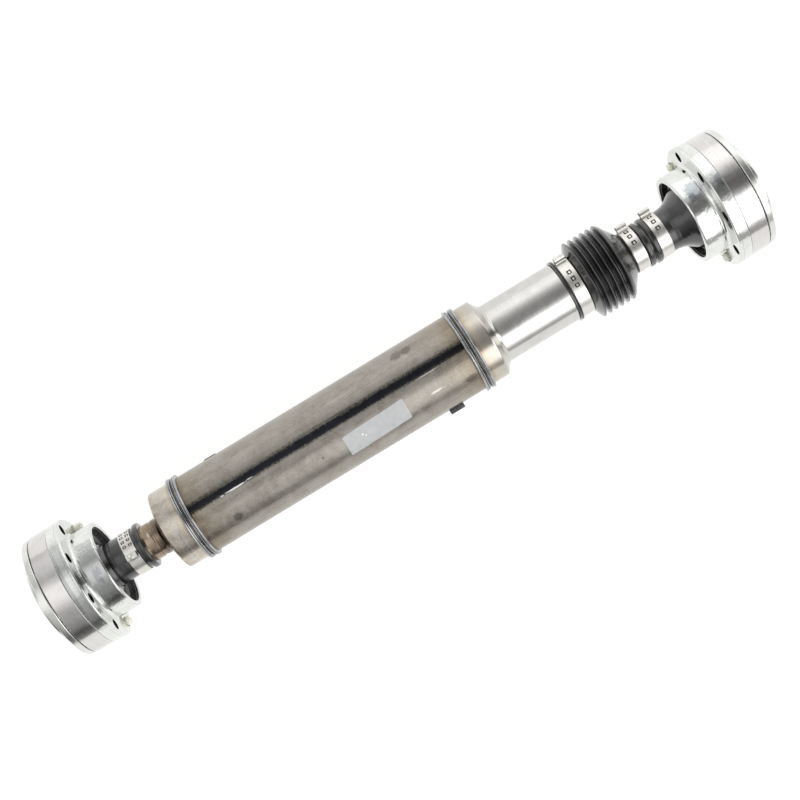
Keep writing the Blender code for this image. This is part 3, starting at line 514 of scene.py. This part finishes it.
def makeFlash(name, place, seed):
    # two curls beside the weld, each rolled over into a pair of ridges
    shape = bmesh.new()
    for side, lift in ((-1, 1.0), (1, 0.94)):
        foot, tall, half = flash["foot"], flash["tall"] * lift, flash["half"]
        centre = side * flash["middle"]
        bumps = [(-1.0, 0.0), (-0.98, 0.42), (-0.8, 0.78), (-0.52, 0.9), (-0.3, 0.8), (-0.2, 0.6),
                 (-0.1, 0.62),
                 (0.05, 0.88), (0.35, 1.0), (0.68, 0.94), (0.92, 0.66), (1.0, 0.3), (0.96, 0.0)]
        ring = [(centre + half * along * side, foot + tall * up) for along, up in bumps]
        buried = [(centre + half * side * way, foot - 0.25) for way in (0.9, -0.9)]
        ring = buried[:1] + ring[::-1] + buried[1:]
        part = latheShape(ring, 192, lambda x, r, angle: (
            x + (bending(x, angle, 0.1, seed + 5) if r > foot + 0.3 else 0.0),
            r + (bending(x, angle, flash["uneven"], seed + side) - 0.04 if r > foot + 0.3 else 0.0),
        ))
        gather(shape, part)
    bmesh.ops.transform(shape, matrix=places[place], verts=shape.verts)
    return put(toPiece(name, shape, flashSteel, 60), "shaft_tube", "tube_steel")


# the splined nose that both shafts put into an inner race, with a groove for the snap ring
nose = {
    "tip": 15.5, "radius": 13.0, "start": -11.8, "shaft": 14.35, "teeth": 24, "depth": 1.0,
    "ringOuter": 13.05, "ringInner": 11.7, "ringFloor": 11.7,
}


def nosePoints():
    n = nose
    return [
        (n["tip"], 0), (n["tip"], n["radius"], 0.9), (n["ringOuter"], n["radius"]),
        (n["ringOuter"], n["ringFloor"]), (n["ringInner"], n["ringFloor"]), (n["ringInner"], n["radius"]),
        (n["start"], n["radius"]), (n["start"], n["shaft"], 0.5),
    ]


def noseTeeth():
    return splined(nose["start"], nose["tip"] - 1.0, nose["radius"], nose["depth"], nose["teeth"])


stub = {
    "shaft": 14.35, "groove": -70.2, "foot": -75.7, "face": -81.1,
    "collar": 31.75, "corner": 1.5, "fillet": 3.8, "weld": -101.45, "bore": 29.75, "boreEnd": -95.45,
}


def makeStub():
    s = stub
    g = s["groove"]
    line = soften([
        *nosePoints(),
        (g + 1.2, s["shaft"], 0.2), (g + 0.9, s["shaft"] - 0.4, 0.2), (g - 0.6, s["shaft"] - 0.4, 0.2),
        (g - 0.9, s["shaft"], 0.2),
        (s["foot"], s["shaft"] + 0.2, s["fillet"]), (s["face"], s["collar"], s["corner"]),
        (s["weld"], s["collar"]), (s["weld"], s["bore"]), (s["boreEnd"], s["bore"], 0.5), (s["boreEnd"], 0),
    ], closed=False)
    piece = lathe("plain_stub", line, stubSteel, "plain", 144, noseTeeth())
    put(piece, "shaft_tube", "machined_steel", "plain_stub_shaft")


# from the weld, outboard
sleeve = {
    "start": 0.15, "collar": 31.75, "face": 16.8, "corner": 1.6, "knee": 21.0, "kneeRadius": 25.4,
    "step": 23.4,
    "radius": 23.8, "seat": 83.8, "seatRadius": 21.5, "end": 97.3, "bore": 16.5, "boreStart": 6.15,
    "weldBore": 29.75,
}


def makeSleeve():
    s = sleeve
    ring = soften([
        (s["start"], s["weldBore"]), (s["start"], s["collar"]), (s["face"], s["collar"], s["corner"]),
        (s["knee"], s["kneeRadius"] + 0.2, 1.2), (s["step"], s["radius"], 1.8), (s["seat"], s["radius"], 0.5),
        (s["seat"], s["seatRadius"]), (s["end"], s["seatRadius"], 0.4), (s["end"], s["bore"]),
        (s["boreStart"], s["bore"]), (s["boreStart"], s["weldBore"]),
    ])
    teeth = splined(s["boreStart"], s["end"], s["bore"], 1.4, 24)
    piece = lathe("slip_sleeve_body", ring, sleeveSteel, "slipWeld", 144, teeth)
    put(piece, "shaft_tube", "polished_steel", "slip_sleeve")


slipRod = {"shaft": 14.35, "spline": 16.2, "splineEnd": -136.0, "splineStart": -196.0}


def makeSlipRod():
    s = slipRod
    line = soften([
        *nosePoints(),
        (s["splineEnd"], s["shaft"]), (s["splineEnd"], s["spline"], 0.5),
        (s["splineStart"], s["spline"], 0.8), (s["splineStart"], 0),
    ], closed=False)
    outer = splined(s["splineStart"], s["splineEnd"], s["spline"], 1.4, 24)
    inner = noseTeeth()
    piece = lathe("slip_rod", line, rodSteel, "slip", 144, lambda x, r, a: outer(*inner(x, r, a), a))
    put(piece, "slip_shaft_body", "machined_steel", "slip_shaft")


# boots

slipBoot = {
    "lip": -137.2, "lipEnd": -134.6, "lipRadius": 25.3, "seat": 23.1, "seatBore": 21.8, "seatEnd": -124.4,
    "crest": -119.7, "pitch": 5.1, "count": 6, "radius": 32.0, "valley": 28.0, "wall": 1.3,
    "neck": -81.7, "neckRadius": 16.35, "neckSeatEnd": -70.8, "end": -66.5, "neckLip": 18.3,
    "neckBore": 14.65,
}


def makeSlipBoot():
    s = slipBoot
    middle, swing = (s["radius"] + s["valley"]) / 2, (s["radius"] - s["valley"]) / 2
    start, stop = s["crest"] - 0.6, s["crest"] + s["pitch"] * (s["count"] - 1) + 0.6
    folds = []
    steps = int((stop - start) / 0.3)
    for step in range(steps + 1):
        x = start + (stop - start) * step / steps
        turn = math.cos(tau * (x - s["crest"]) / s["pitch"])
        folds.append((x, middle + swing * (abs(turn) ** 0.8 * (1 if turn > 0 else -1))))
    outer = soften([
        (s["lip"], s["lipRadius"], 0.7), (s["lip"] + 1.2, s["lipRadius"], 0.5),
        (s["lip"] + 1.2, s["lipRadius"] - 1.5, 0.2),
        (s["lip"] + 1.8, s["lipRadius"] - 1.5, 0.2), (s["lip"] + 1.8, s["lipRadius"] - 0.2, 0.4),
        (s["lipEnd"] + 0.1, s["lipRadius"] - 0.2, 0.5), (s["lipEnd"] + 0.1, s["seat"]),
        (s["seatEnd"], s["seat"], 0.5), (s["seatEnd"] + 0.8, s["seat"] + 1.6, 0.8),
    ], closed=False)
    neck = soften([
        (stop + 1.6, s["radius"] - 1.6, 1.0), (s["neck"] - 3.2, s["neckRadius"] + 4.0, 3.0),
        (s["neck"], s["neckRadius"], 1.2),
        (s["neckSeatEnd"], s["neckRadius"], 0.3), (s["neckSeatEnd"] + 0.5, s["neckLip"], 1.3),
        (s["end"], s["neckLip"], 1.3),
        (s["end"], s["neckBore"]),
    ], closed=False)
    inside = [(s["neck"], s["neckBore"]), (stop + 1.0, s["radius"] - 3.4)]
    inside += [(x, r - s["wall"]) for x, r in folds[::-1]]
    inside += [(s["seatEnd"] + 1.5, s["seatBore"] + 1.0), (s["seatEnd"], s["seatBore"]),
               (s["lip"], s["seatBore"])]
    piece = lathe("slip_bellows", outer + folds + neck + inside, bootRubber, "slip", 144)
    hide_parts("slip_boot")
    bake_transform(piece)


jointBoot = {
    "bore": 14.65, "lip": 18.6, "lipLength": 4.0, "seat": 16.9,
    # the plain end's throat stays narrow until it is inside the can
    "plain": {
        "end": -62.0, "seatEnd": -44.5,
        "bell": [(-42.0, 17.0), (-36.0, 17.1), (-32.0, 17.4), (-29.6, 18.4), (-27.9, 20.3), (-26.7, 22.8),
                 (-25.6, 25.6),
                 (-24.4, 27.9), (-23.2, 29.1)],
        "lining": [(-21.0, 29.1), (-22.4, 27.3), (-23.7, 25.0), (-24.8, 22.2), (-26.1, 19.4), (-27.8, 17.2),
                   (-30.4, 15.9),
                   (-34.0, 15.3), (-41.0, 14.9)],
    },
    "slip": {
        "end": -64.6, "seatEnd": -49.4,
        "bell": [(-45.5, 17.05), (-42.0, 17.7), (-39.0, 18.8), (-36.5, 20.3), (-34.3, 22.0), (-32.0, 23.8),
                 (-29.0, 25.5),
                 (-26.0, 26.8), (-24.1, 27.9), (-23.2, 29.1)],
        "lining": [(-21.0, 29.1), (-22.0, 26.9), (-24.5, 25.1), (-29.0, 23.3), (-32.0, 21.7), (-34.6, 20.0),
                   (-37.0, 18.2),
                   (-39.6, 16.8), (-42.6, 15.6)],
    },
    "bead": [(-23.2, 29.1), (-23.9, 30.6), (-25.6, 31.7), (-28.5, 32.05), (-31.0, 32.05, 0.5),
             (-31.0, 34.2, 0.8),
             (-26.0, 34.2, 1.0), (-22.8, 32.6), (-21.5, 31.0), (-21.0, 29.1)],
}


def makeJointBoot(end):
    s = jointBoot
    own = s[end]
    throat = soften([
        (own["end"], s["bore"]), (own["end"], s["lip"], 1.5), (own["end"] + s["lipLength"], s["lip"], 1.5),
        (own["end"] + s["lipLength"] + 0.1, s["seat"], 0.2), (own["seatEnd"], s["seat"], 1.0),
        *own["bell"],
    ], closed=False)
    throat += [*own["lining"], (own["seatEnd"], s["bore"])]
    neck = lathe(f"{end}_boot_throat", throat, bootRubber, end, 128)
    bead = lathe(f"{end}_boot_bead", soften(s["bead"]), bootRubber, end, 128)
    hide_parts(f"{end}_joint_boot")
    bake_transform(neck)
    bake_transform(bead)


# clamps

clamps = {
    "plain_joint_boot_clamp": {
        "place": "plain", "body": "shaft_tube", "start": -55.1, "inner": 17.2, "ear": 5, "tail": -78,
        "windows": [(-64, -2.6), (-50, -2.6), (-36, -2.6), (-22, -2.6), (-64, 2.2), (-50, 2.2), (-36, 2.2),
                    (-22, 2.2)],
        "size": (2.6, 2.3),
    },
    "slip_joint_boot_clamp": {
        "place": "slip", "body": "slip_shaft_body", "start": -60.0, "inner": 17.2, "ear": 80, "tail": -8,
        "windows": [(55, 0.3), (35, 0.3), (15, 0.3)], "size": (3.6, 3.4),
    },
    "slip_boot_shaft_clamp": {
        "place": "slip", "body": "slip_shaft_body", "start": -80.8, "inner": 16.65, "ear": 80, "tail": -8,
        "windows": [(55, 0.3), (35, 0.3), (15, 0.3)], "size": (3.6, 3.4),
    },
    "slip_boot_sleeve_clamp": {
        "place": "slip", "body": "shaft_tube", "start": -134.3, "inner": 23.4, "ear": 60, "tail": -13,
        "windows": [(26, 0.3), (12, 0.3), (-2, 0.3)], "size": (3.6, 3.4),
    },
}
clampBand = {"width": 9.6, "sheet": 0.43, "columns": 24, "step": 1.5, "earWidth": 8.4}
# half of the ear's outline: distance from its middle and height
earHalf = [(3.7, 0.0), (2.6, 0.15), (2.0, 0.7), (1.8, 1.5), (2.0, 2.6), (2.35, 3.6), (2.2, 4.4), (1.5, 4.9),
           (0.0, 5.0)]


def bandStrip(shape, start, inner, sheet, angles, windows, size):
    # a curved strip with square windows, thick outwards
    columns, width = clampBand["columns"], clampBand["width"]
    xs = [start + width * column / columns for column in range(columns + 1)]
    span = angles[-1] - angles[0]
    closed = abs(span - 360) < 0.01
    rows = angles[:-1] if closed else angles
    grid = [[shape.verts.new(onCircle(x, inner, math.radians(a))) for x in xs] for a in rows]
    faces = []
    for row in range(len(angles) - 1):
        middleAngle = (angles[row] + angles[row + 1]) / 2
        for column in range(columns):
            middle = (xs[column] + xs[column + 1]) / 2 - start - width / 2
            hidden = False
            for windowAngle, offset in windows:
                away = (middleAngle - windowAngle + 180) % 360 - 180
                if abs(math.radians(away)) * inner < size[1] / 2 and abs(middle - offset) < size[0] / 2:
                    hidden = True
            if not hidden:
                a, b = grid[row], grid[(row + 1) % len(grid)]
                faces.append(shape.faces.new((a[column], a[column + 1], b[column + 1], b[column])))
    thicken(shape, faces, lambda place: radial(place, sheet))


def radial(place, lift):
    across = Vector((0, place.y, place.z)).normalized()
    return place + across * lift * mm


def thicken(shape, faces, move):
    lifted = bmesh.ops.extrude_face_region(shape, geom=faces, use_keep_orig=True)
    for item in lifted["geom"]:
        if isinstance(item, bmesh.types.BMVert):
            item.co = move(item.co)


def makeClamp(name, spec):
    band = clampBand
    shape = bmesh.new()
    full = [band["step"] * step for step in range(int(360 / band["step"]) + 1)]
    bandStrip(shape, spec["start"], spec["inner"], band["sheet"], full, spec["windows"], spec["size"])
    low, high = sorted((spec["ear"], spec["tail"]))
    count = int((high - low) / band["step"]) + 1
    over = [low + (high - low) * step / count for step in range(count + 1)]
    outerRadius = spec["inner"] + band["sheet"]
    bandStrip(shape, spec["start"], outerRadius, band["sheet"], over, spec["windows"], spec["size"])
    middle = spec["start"] + band["width"] / 2
    for angle, offset in spec["windows"]:
        # the hook that stands in each window
        hook = Matrix.Rotation(-math.radians(angle), 4, "X") @ Matrix.Translation(
            ((middle + offset) * mm, 0, (outerRadius + 0.1) * mm)
        ) @ Matrix.Diagonal((spec["size"][0] * 0.5 * mm, spec["size"][1] * 0.52 * mm, 0.9 * mm, 1))
        made = bmesh.ops.create_cube(shape, size=1.0, matrix=hook)
        edges = {edge for vertex in made["verts"] for edge in vertex.link_edges}
        bmesh.ops.bevel(shape, geom=list(edges), offset=0.15 * mm, segments=1, affect="EDGES")
    ear = [(-s, h) for s, h in earHalf] + [(s, h) for s, h in earHalf[-2::-1]]
    lanes = 12
    rows = []
    for lane in range(lanes + 1):
        along = -1 + 2 * lane / lanes
        x = middle + band["earWidth"] / 2 * along
        row = []
        for s, h in ear:
            pinch = 0.75 * max(0.0, 1 - (along / 0.55) ** 2) * max(0.0, 1 - (s / 1.6) ** 2) * (h > 3)
            radius = outerRadius + h - pinch
            angle = math.radians(spec["ear"]) + s / (outerRadius + 1.0)
            row.append(shape.verts.new(onCircle(x, radius, angle)))
        rows.append(row)
    faces = [shape.faces.new((a[i], a[i + 1], b[i + 1], b[i]))
             for a, b in zip(rows, rows[1:]) for i in range(len(ear) - 1)]
    bmesh.ops.recalc_face_normals(shape, faces=faces)
    centreAngle = math.radians(spec["ear"])
    hub = Vector(onCircle(middle, outerRadius + 2.2, centreAngle))

    def inward(place):
        towards = Vector((0, hub.y - place.y, hub.z - place.z))
        return place + towards.normalized() * 0.45 * mm
    thicken(shape, faces, inward)
    bmesh.ops.transform(shape, matrix=places[spec["place"]], verts=shape.verts)
    put(toPiece(f"{name}_band", shape, clampSteel, 28), spec["body"], "clamp_stainless", name)


# joint housings

bolts = {"count": 8, "radius": 4.25, "pitch": 44.0, "reach": 30.0, "plain": math.radians(16.3),
         "slip": math.radians(-18.6)}
pins = {"plain": ((5, 6.8), (2, 3.8)), "slip": ((3, 3.0), (6, 3.0))}
can = [
    (-33.0, 32.25, 0.9), (-33.0, 36.25, 1.5), (-14.1, 36.25, 2.6), (-14.1, 50.5, 1.7),
    (-11.7, 50.5), (-11.55, 50.2), (-11.25, 50.2), (-11.1, 50.5), (-4.0, 50.5, 0.5), (-4.0, 49.3, 0.3),
    (-12.35, 49.3, 0.4), (-12.35, 34.55, 2.0), (-31.4, 34.55, 0.6), (-31.4, 32.25, 0.6),
]
race = {
    "face": 12.1, "bore": 30.2, "seat": 48.95, "step": -3.7, "radius": 50.0, "lip": (11.25, 11.35, 2.2),
    "track": 8.8, "pitch": 28.0, "sweep": math.radians(80),
}
cap = [
    (24.0, 0), (24.0, 22.0, 1.0), (23.5, 24.0, 1.0), (24.0, 26.0, 1.0), (24.0, 36.0, 2.6),
    (17.4, 36.0, 1.6), (17.4, 49.5, 1.2),
    (12.42, 49.5, 0.6), (12.42, 35.5, 1.0), (15.0, 33.5, 1.5), (21.6, 33.5, 2.0), (21.6, 0),
]


def boltAngles(end):
    return [bolts[end] + tau * index / bolts["count"] for index in range(bolts["count"])]


def trackCutter(end):
    # six grooves that follow circles about the joint's centre
    shape = bmesh.new()
    for index in range(6):
        groove = bmesh.new()
        ring = []
        for step in range(24):
            turn = tau * step / 24
            ring.append(groove.verts.new((0, race["track"] * mm * math.sin(turn),
                                          (race["pitch"] + race["track"] * math.cos(turn)) * mm)))
        edges = [groove.edges.new(pair) for pair in zip(ring, ring[1:] + ring[:1])]
        swing = Matrix.Rotation(-race["sweep"] / 2, 3, "Y")
        bmesh.ops.rotate(groove, verts=ring, cent=(0, 0, 0), matrix=swing)
        bmesh.ops.spin(groove, geom=ring + edges, cent=(0, 0, 0), axis=(0, 1, 0), angle=race["sweep"],
                       steps=14)
        rims = [edge for edge in groove.edges if edge.is_boundary]
        bmesh.ops.holes_fill(groove, edges=rims)
        bmesh.ops.rotate(groove, verts=groove.verts, cent=(0, 0, 0),
                         matrix=Matrix.Rotation(tau * index / 6, 3, "X"))
        gather(shape, groove)
    bmesh.ops.transform(shape, matrix=places[end], verts=shape.verts)
    return toPiece(f"{end}_tracks", shape, None)


def sphereArc(radius, half, steps):
    edge = math.acos(half / radius)
    angles = [edge + (math.pi - 2 * edge) * step / steps for step in range(steps + 1)]
    return [(radius * math.cos(a), radius * math.sin(a)) for a in angles]


def makeHousing(end):
    body = f"{end}_housing"
    lipStart, lipEnd, lipDepth = race["lip"]
    spots = [(angle, bolts["pitch"]) for angle in boltAngles(end)]
    drill = rods(f"{end}_drill", spots, bolts["radius"], -bolts["reach"], bolts["reach"], end)
    tracks = trackCutter(end)
    pressed = lathe(f"{end}_can_sheet", soften(can), zincPlate, end, 144)
    cutAway(pressed, [drill])
    put(pressed, body, "zinc_steel", f"{end}_boot_can")
    ring = sphereArc(race["bore"], race["face"], 10) + soften([
        (-race["face"], race["seat"], 0.4), (race["step"], race["seat"]), (race["step"], race["radius"], 0.3),
        (lipStart, race["radius"], 0.2), (lipEnd, race["radius"] - lipDepth),
        (race["face"], race["radius"] - lipDepth),
    ], closed=False)
    turned = lathe(f"{end}_race_ring", ring, raceSteel, end, 144)
    cutAway(turned, [tracks, drill])
    put(turned, body, "race_steel", f"{end}_outer_race")
    dished = lathe(f"{end}_cap_dish", soften(cap, closed=False), capSteel, end, 144)
    cutAway(dished, [drill])
    put(dished, body, "cap_steel", f"{end}_end_cap")
    bpy.data.objects.remove(drill)
    for number, (hole, standOut) in enumerate(pins[end], 1):
        makePin(end, number, boltAngles(end)[hole], standOut)
    return tracks


# the slot is its depth, length and width
pin = {"face": -14.1, "tip": 3.3, "barb": 3.88, "radius": 3.4, "end": 11.9, "slot": (2.2, 10.0, 0.7),
       "slotTurn": 0.4}


def makePin(end, number, angle, standOut):
    # split plastic pin with a barbed head
    face = pin["face"]
    tip = face - standOut
    line = soften([
        (tip, 0), (tip, pin["tip"], 0.6), (tip + 1.1, pin["barb"], 0.5), (face - 0.9, pin["barb"], 0.4),
        (face - 0.5, pin["radius"], 0.3), (pin["end"], pin["radius"], 0.4), (pin["end"], 0),
    ], closed=False)
    shape = latheShape(line, 40)
    stand = Matrix.Translation(onCircle(0, bolts["pitch"], angle))
    bmesh.ops.transform(shape, matrix=places[end] @ stand, verts=shape.verts)
    piece = toPiece(f"{end}_pin_{number}", shape, pinPlastic)
    blades = []
    slotSize = [side * mm for side in pin["slot"]]
    for turn in (pin["slotTurn"], pin["slotTurn"] + math.pi / 2):
        blade = places[end] @ stand @ Matrix.Translation((tip * mm, 0, 0)) @ Matrix.Rotation(turn, 4, "X")
        slotShape = bmesh.new()
        bmesh.ops.create_cube(slotShape, size=1.0, matrix=blade @ Matrix.Diagonal((*slotSize, 1)))
        blades.append(toPiece("blade", slotShape, None))
    cutAway(piece, blades)
    for blade in blades:
        bpy.data.objects.remove(blade)
    put(piece, f"{end}_housing", "pin_plastic", f"{end}_retaining_pin_{number}")


# inside the joints

core = {"ballRadius": 8.0, "pitch": 28.0, "raceRadius": 25.0, "raceHalf": 11.5, "bore": 13.3,
        "cageOuter": 29.6, "cageInner": 25.8, "cageHalf": 12.0, "window": (16.6, 18.6, 14.0)}


def makeCore(end, tracks):
    ring = sphereArc(core["raceRadius"], core["raceHalf"], 10)
    ring += soften([(-core["raceHalf"], core["bore"]), (core["raceHalf"], core["bore"])], closed=False)
    teeth = splined(-core["raceHalf"], core["raceHalf"], core["bore"], nose["depth"], nose["teeth"])
    star = lathe(f"{end}_star", ring, raceSteel, end, 144, teeth)
    cutAway(star, [tracks])
    put(star, shaftBody[end], "race_steel", f"{end}_inner_race")
    bpy.data.objects.remove(tracks)
    shell = sphereArc(core["cageOuter"], core["cageHalf"], 10) + sphereArc(core["cageInner"],
                                                                           core["cageHalf"], 10)[::-1]
    cage = lathe(f"{end}_ball_cage", shell, cageSteel, end, 120)
    holes = bmesh.new()
    windowSize = [side * mm for side in core["window"]]
    for index in range(6):
        turn = Matrix.Rotation(tau * index / 6, 4, "X")
        spot = places[end] @ turn @ Matrix.Translation((0, 0, core["pitch"] * mm))
        bmesh.ops.create_cube(holes, size=1.0, matrix=spot @ Matrix.Diagonal((*windowSize, 1)))
    cutter = toPiece("windows", holes, None)
    cutAway(cage, [cutter])
    bpy.data.objects.remove(cutter)
    put(cage, f"{end}_cage_body", "cage_steel", f"{end}_cage")
    r = core["ballRadius"]
    half = [(r * math.cos(math.pi * step / 20), r * math.sin(math.pi * step / 20)) for step in range(21)]
    half[0], half[-1] = (r, 0), (-r, 0)
    for index in range(6):
        turn = Matrix.Rotation(-tau * index / 6, 4, "X")
        spot = places[end] @ turn @ Matrix.Translation((0, 0, core["pitch"] * mm))
        shape = latheShape(half, 32)
        bmesh.ops.transform(shape, matrix=spot, verts=shape.verts)
        name = f"{end}_ball_{index + 1}"
        low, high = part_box(name)
        centre = Vector([(a + b) / 2 for a, b in zip(low, high)])
        # the record's own box says where each ball is
        made = sum((vertex.co for vertex in shape.verts), Vector()) / len(shape.verts)
        bmesh.ops.translate(shape, verts=shape.verts, vec=centre - made)
        put(toPiece(f"{name}_round", shape, bearingSteel), f"{end}_cage_body", "ball_steel", name)


# weights and label on the tube

pads = {
    "balance_weight_plain": {"length": 11.3, "width": 20.0, "thick": 3.6, "corner": 2.2, "bevel": 0.5},
    "balance_weight_slip": {"length": 12.0, "width": 20.0, "thick": 3.6, "corner": 2.2, "bevel": 0.5},
    "label": {"length": 52.6, "width": 17.6, "thick": 0.2, "corner": 0.9, "bevel": 0.0, "tilt": 2.0},
}


def makePad(node, material, slotName):
    s = pads[node]
    low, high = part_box(node)
    centreX = (low[0] + high[0]) / 2 / mm
    angle = math.atan2((low[1] + high[1]) / 2, (low[2] + high[2]) / 2)
    inner = tube["radius"] + 0.08
    columns, rows = 28, 20
    shape = bmesh.new()
    grid = []
    for row in range(rows + 1):
        line = []
        for column in range(columns + 1):
            x = s["length"] * (column / columns - 0.5)
            across = s["width"] * (row / rows - 0.5)
            coreX = max(-s["length"] / 2 + s["corner"], min(s["length"] / 2 - s["corner"], x))
            coreS = max(-s["width"] / 2 + s["corner"], min(s["width"] / 2 - s["corner"], across))
            away = Vector((x - coreX, across - coreS))
            if away.length > 0:
                away *= max(abs(away.x), abs(away.y)) / away.length
            x, across = coreX + away.x, coreS + away.y
            across += s.get("tilt", 0.0) * x / s["length"]
            turn = angle + across / inner
            line.append(shape.verts.new(onCircle(centreX + x, inner, turn)))
        grid.append(line)
    faces = [shape.faces.new((grid[r][c], grid[r][c + 1], grid[r + 1][c + 1], grid[r + 1][c]))
             for r in range(rows) for c in range(columns)]
    thicken(shape, faces, lambda place: radial(place, s["thick"]))
    piece = toPiece(f"{node}_plate", shape, material)
    if s["bevel"]:
        edge = piece.modifiers.new("edge", "BEVEL")
        edge.width, edge.segments = s["bevel"] * mm, 2
        edge.limit_method, edge.angle_limit = "ANGLE", math.radians(50)
        settle(piece)
    put(piece, "shaft_tube", slotName, node)


makeTube()
makeFlash("plain_weld_flash", "plainWeld", 3.0)
makeFlash("slip_weld_flash", "slipWeld", 17.0)
makeStub()
makeSleeve()
makeSlipRod()
print("shafts turned")
makeSlipBoot()
for end in ("plain", "slip"):
    makeJointBoot(end)
print("boots drawn")
for clampName, clampSpec in clamps.items():
    makeClamp(clampName, clampSpec)
print("clamps closed")
for end in ("plain", "slip"):
    makeCore(end, makeHousing(end))
    dress(f"{end}_snap_ring", springSteel)
dress("sleeve_grease_plug", zincPlate)
print("joints assembled")
makePad("balance_weight_plain", weightSteel, "weight_steel")
makePad("balance_weight_slip", weightSteel, "weight_steel")
makePad("label", labelFilm, "label_paper")
print("weights and label laid on")


# floor, light and camera

# the skies mix over these ranges of the direction's x
stage = {"floor": 4.0, "floorWhite": 0.4, "floorGlow": 0.76, "backdrop": (0.93, 0.93, 0.92), "strength": 1.0,
         "plainToMiddle": (-0.2, 0.06), "middleToSlip": (0.1, 0.24)}
# brightness by the angle round the shaft, from +Z towards +Y: over the plain end, the middle and the slip end
skies = {
    "plain": [(-180, 0.9), (-95, 0.5), (-86, 0.22), (-73, 0.08), (-62, 0.3), (-48, 0.42), (-35, 0.52),
              (-22, 0.68), (-10, 1.12),
              (3, 1.4), (20, 1.35), (29, 0.9), (38, 0.6), (50, 0.8), (70, 0.95), (90, 0.85), (180, 0.9)],
    "middle": [(-180, 0.9), (-95, 0.6), (-89, 0.55), (-76, 0.72), (-66, 1.8), (-60, 2.3), (-31, 2.4),
               (-25, 1.8), (-18.5, 0.42),
               (-8, 0.34), (12, 0.37), (24, 0.5), (36, 0.76), (47, 1.2), (60, 1.6), (90, 1.4), (180, 0.9)],
    "slip": [(-180, 0.9), (-95, 0.6), (-89, 0.45), (-78, 0.5), (-68, 1.9), (-60, 2.6), (-26, 2.6),
             (-16, 2.0), (-8, 0.5),
             (0, 0.2), (14, 0.15), (25, 0.28), (36, 0.7), (47, 1.35), (60, 1.75), (90, 1.5), (180, 0.9)],
}


def makeStage():
    shape = bmesh.new()
    bmesh.ops.create_grid(shape, x_segments=8, y_segments=8, size=stage["floor"])
    floor = toPiece("floor", shape, None)
    floor.location.z = floorZ
    white = bpy.data.materials.new("paleFloor")
    white.use_nodes = True
    shader = white.node_tree.nodes["Principled BSDF"]
    level = stage["floorWhite"]
    shader.inputs["Base Color"].default_value = (level, level, level * 0.995, 1)
    shader.inputs["Roughness"].default_value = 0.9
    shader.inputs["Specular IOR Level"].default_value = 0.1
    shader.inputs["Emission Color"].default_value = (1, 1, 0.99, 1)
    shader.inputs["Emission Strength"].default_value = stage["floorGlow"]
    floor.data.materials.append(white)


def makeSky():
    sky = bpy.data.worlds.new("studio")
    sky.use_nodes = True
    tree = sky.node_tree
    back = tree.nodes["Background"]
    way = add(tree, "TexCoord").outputs["Generated"]
    axis = add(tree, "SeparateXYZ", {0: way})
    angle = calc(tree, "ARCTAN2", axis.outputs[1], axis.outputs[2])
    turn = rangeOf(tree, angle, -math.pi, math.pi, 0.0, 1.0)
    bands = {name: ramp(tree, turn, [(degrees / 360 + 0.5, level) for degrees, level in stops])
             for name, stops in skies.items()}
    mixes = [rangeOf(tree, axis.outputs[0], *stage[span], 0.0, 1.0) for span in ("plainToMiddle",
                                                                                 "middleToSlip")]
    light = tint(tree, "MIX", mixes[0], bands["plain"], bands["middle"])
    light = tint(tree, "MIX", mixes[1], light, bands["slip"])
    seen = add(tree, "LightPath").outputs["Is Camera Ray"]
    light = tint(tree, "MIX", seen, light, (*stage["backdrop"], 1.0))
    tree.links.new(light, back.inputs["Color"])
    back.inputs["Strength"].default_value = stage["strength"]
    bpy.context.scene.world = sky


# the shaft rises to the right at this angle in the frame, seen from straight above
view = {"angle": 31.2, "scale": 0.756, "distance": 1430, "centre": (399, 392), "frame": 800}


def makeCamera():
    unit = view["scale"] * mm
    lens = bpy.data.cameras.new("camera")
    lens.sensor_width = 36.0
    lens.lens = view["distance"] * 36.0 / view["frame"]
    camera = bpy.data.objects.new("camera", lens)
    bpy.context.scene.collection.objects.link(camera)
    turn = -math.radians(view["angle"])
    right = Vector((math.cos(turn), math.sin(turn), 0))
    up = Vector((-math.sin(turn), math.cos(turn), 0))
    offX = view["frame"] / 2 - view["centre"][0]
    offY = view["centre"][1] - view["frame"] / 2
    camera.location = right * offX * unit + up * offY * unit + Vector((0, 0, view["distance"] * unit))
    camera.rotation_euler = (0, 0, turn)
    lens.clip_start, lens.clip_end = 0.01, 20
    bpy.context.scene.camera = camera


makeStage()
makeSky()
makeCamera()
bpy.context.scene.view_settings.view_transform = "Standard"
print("stage lit")
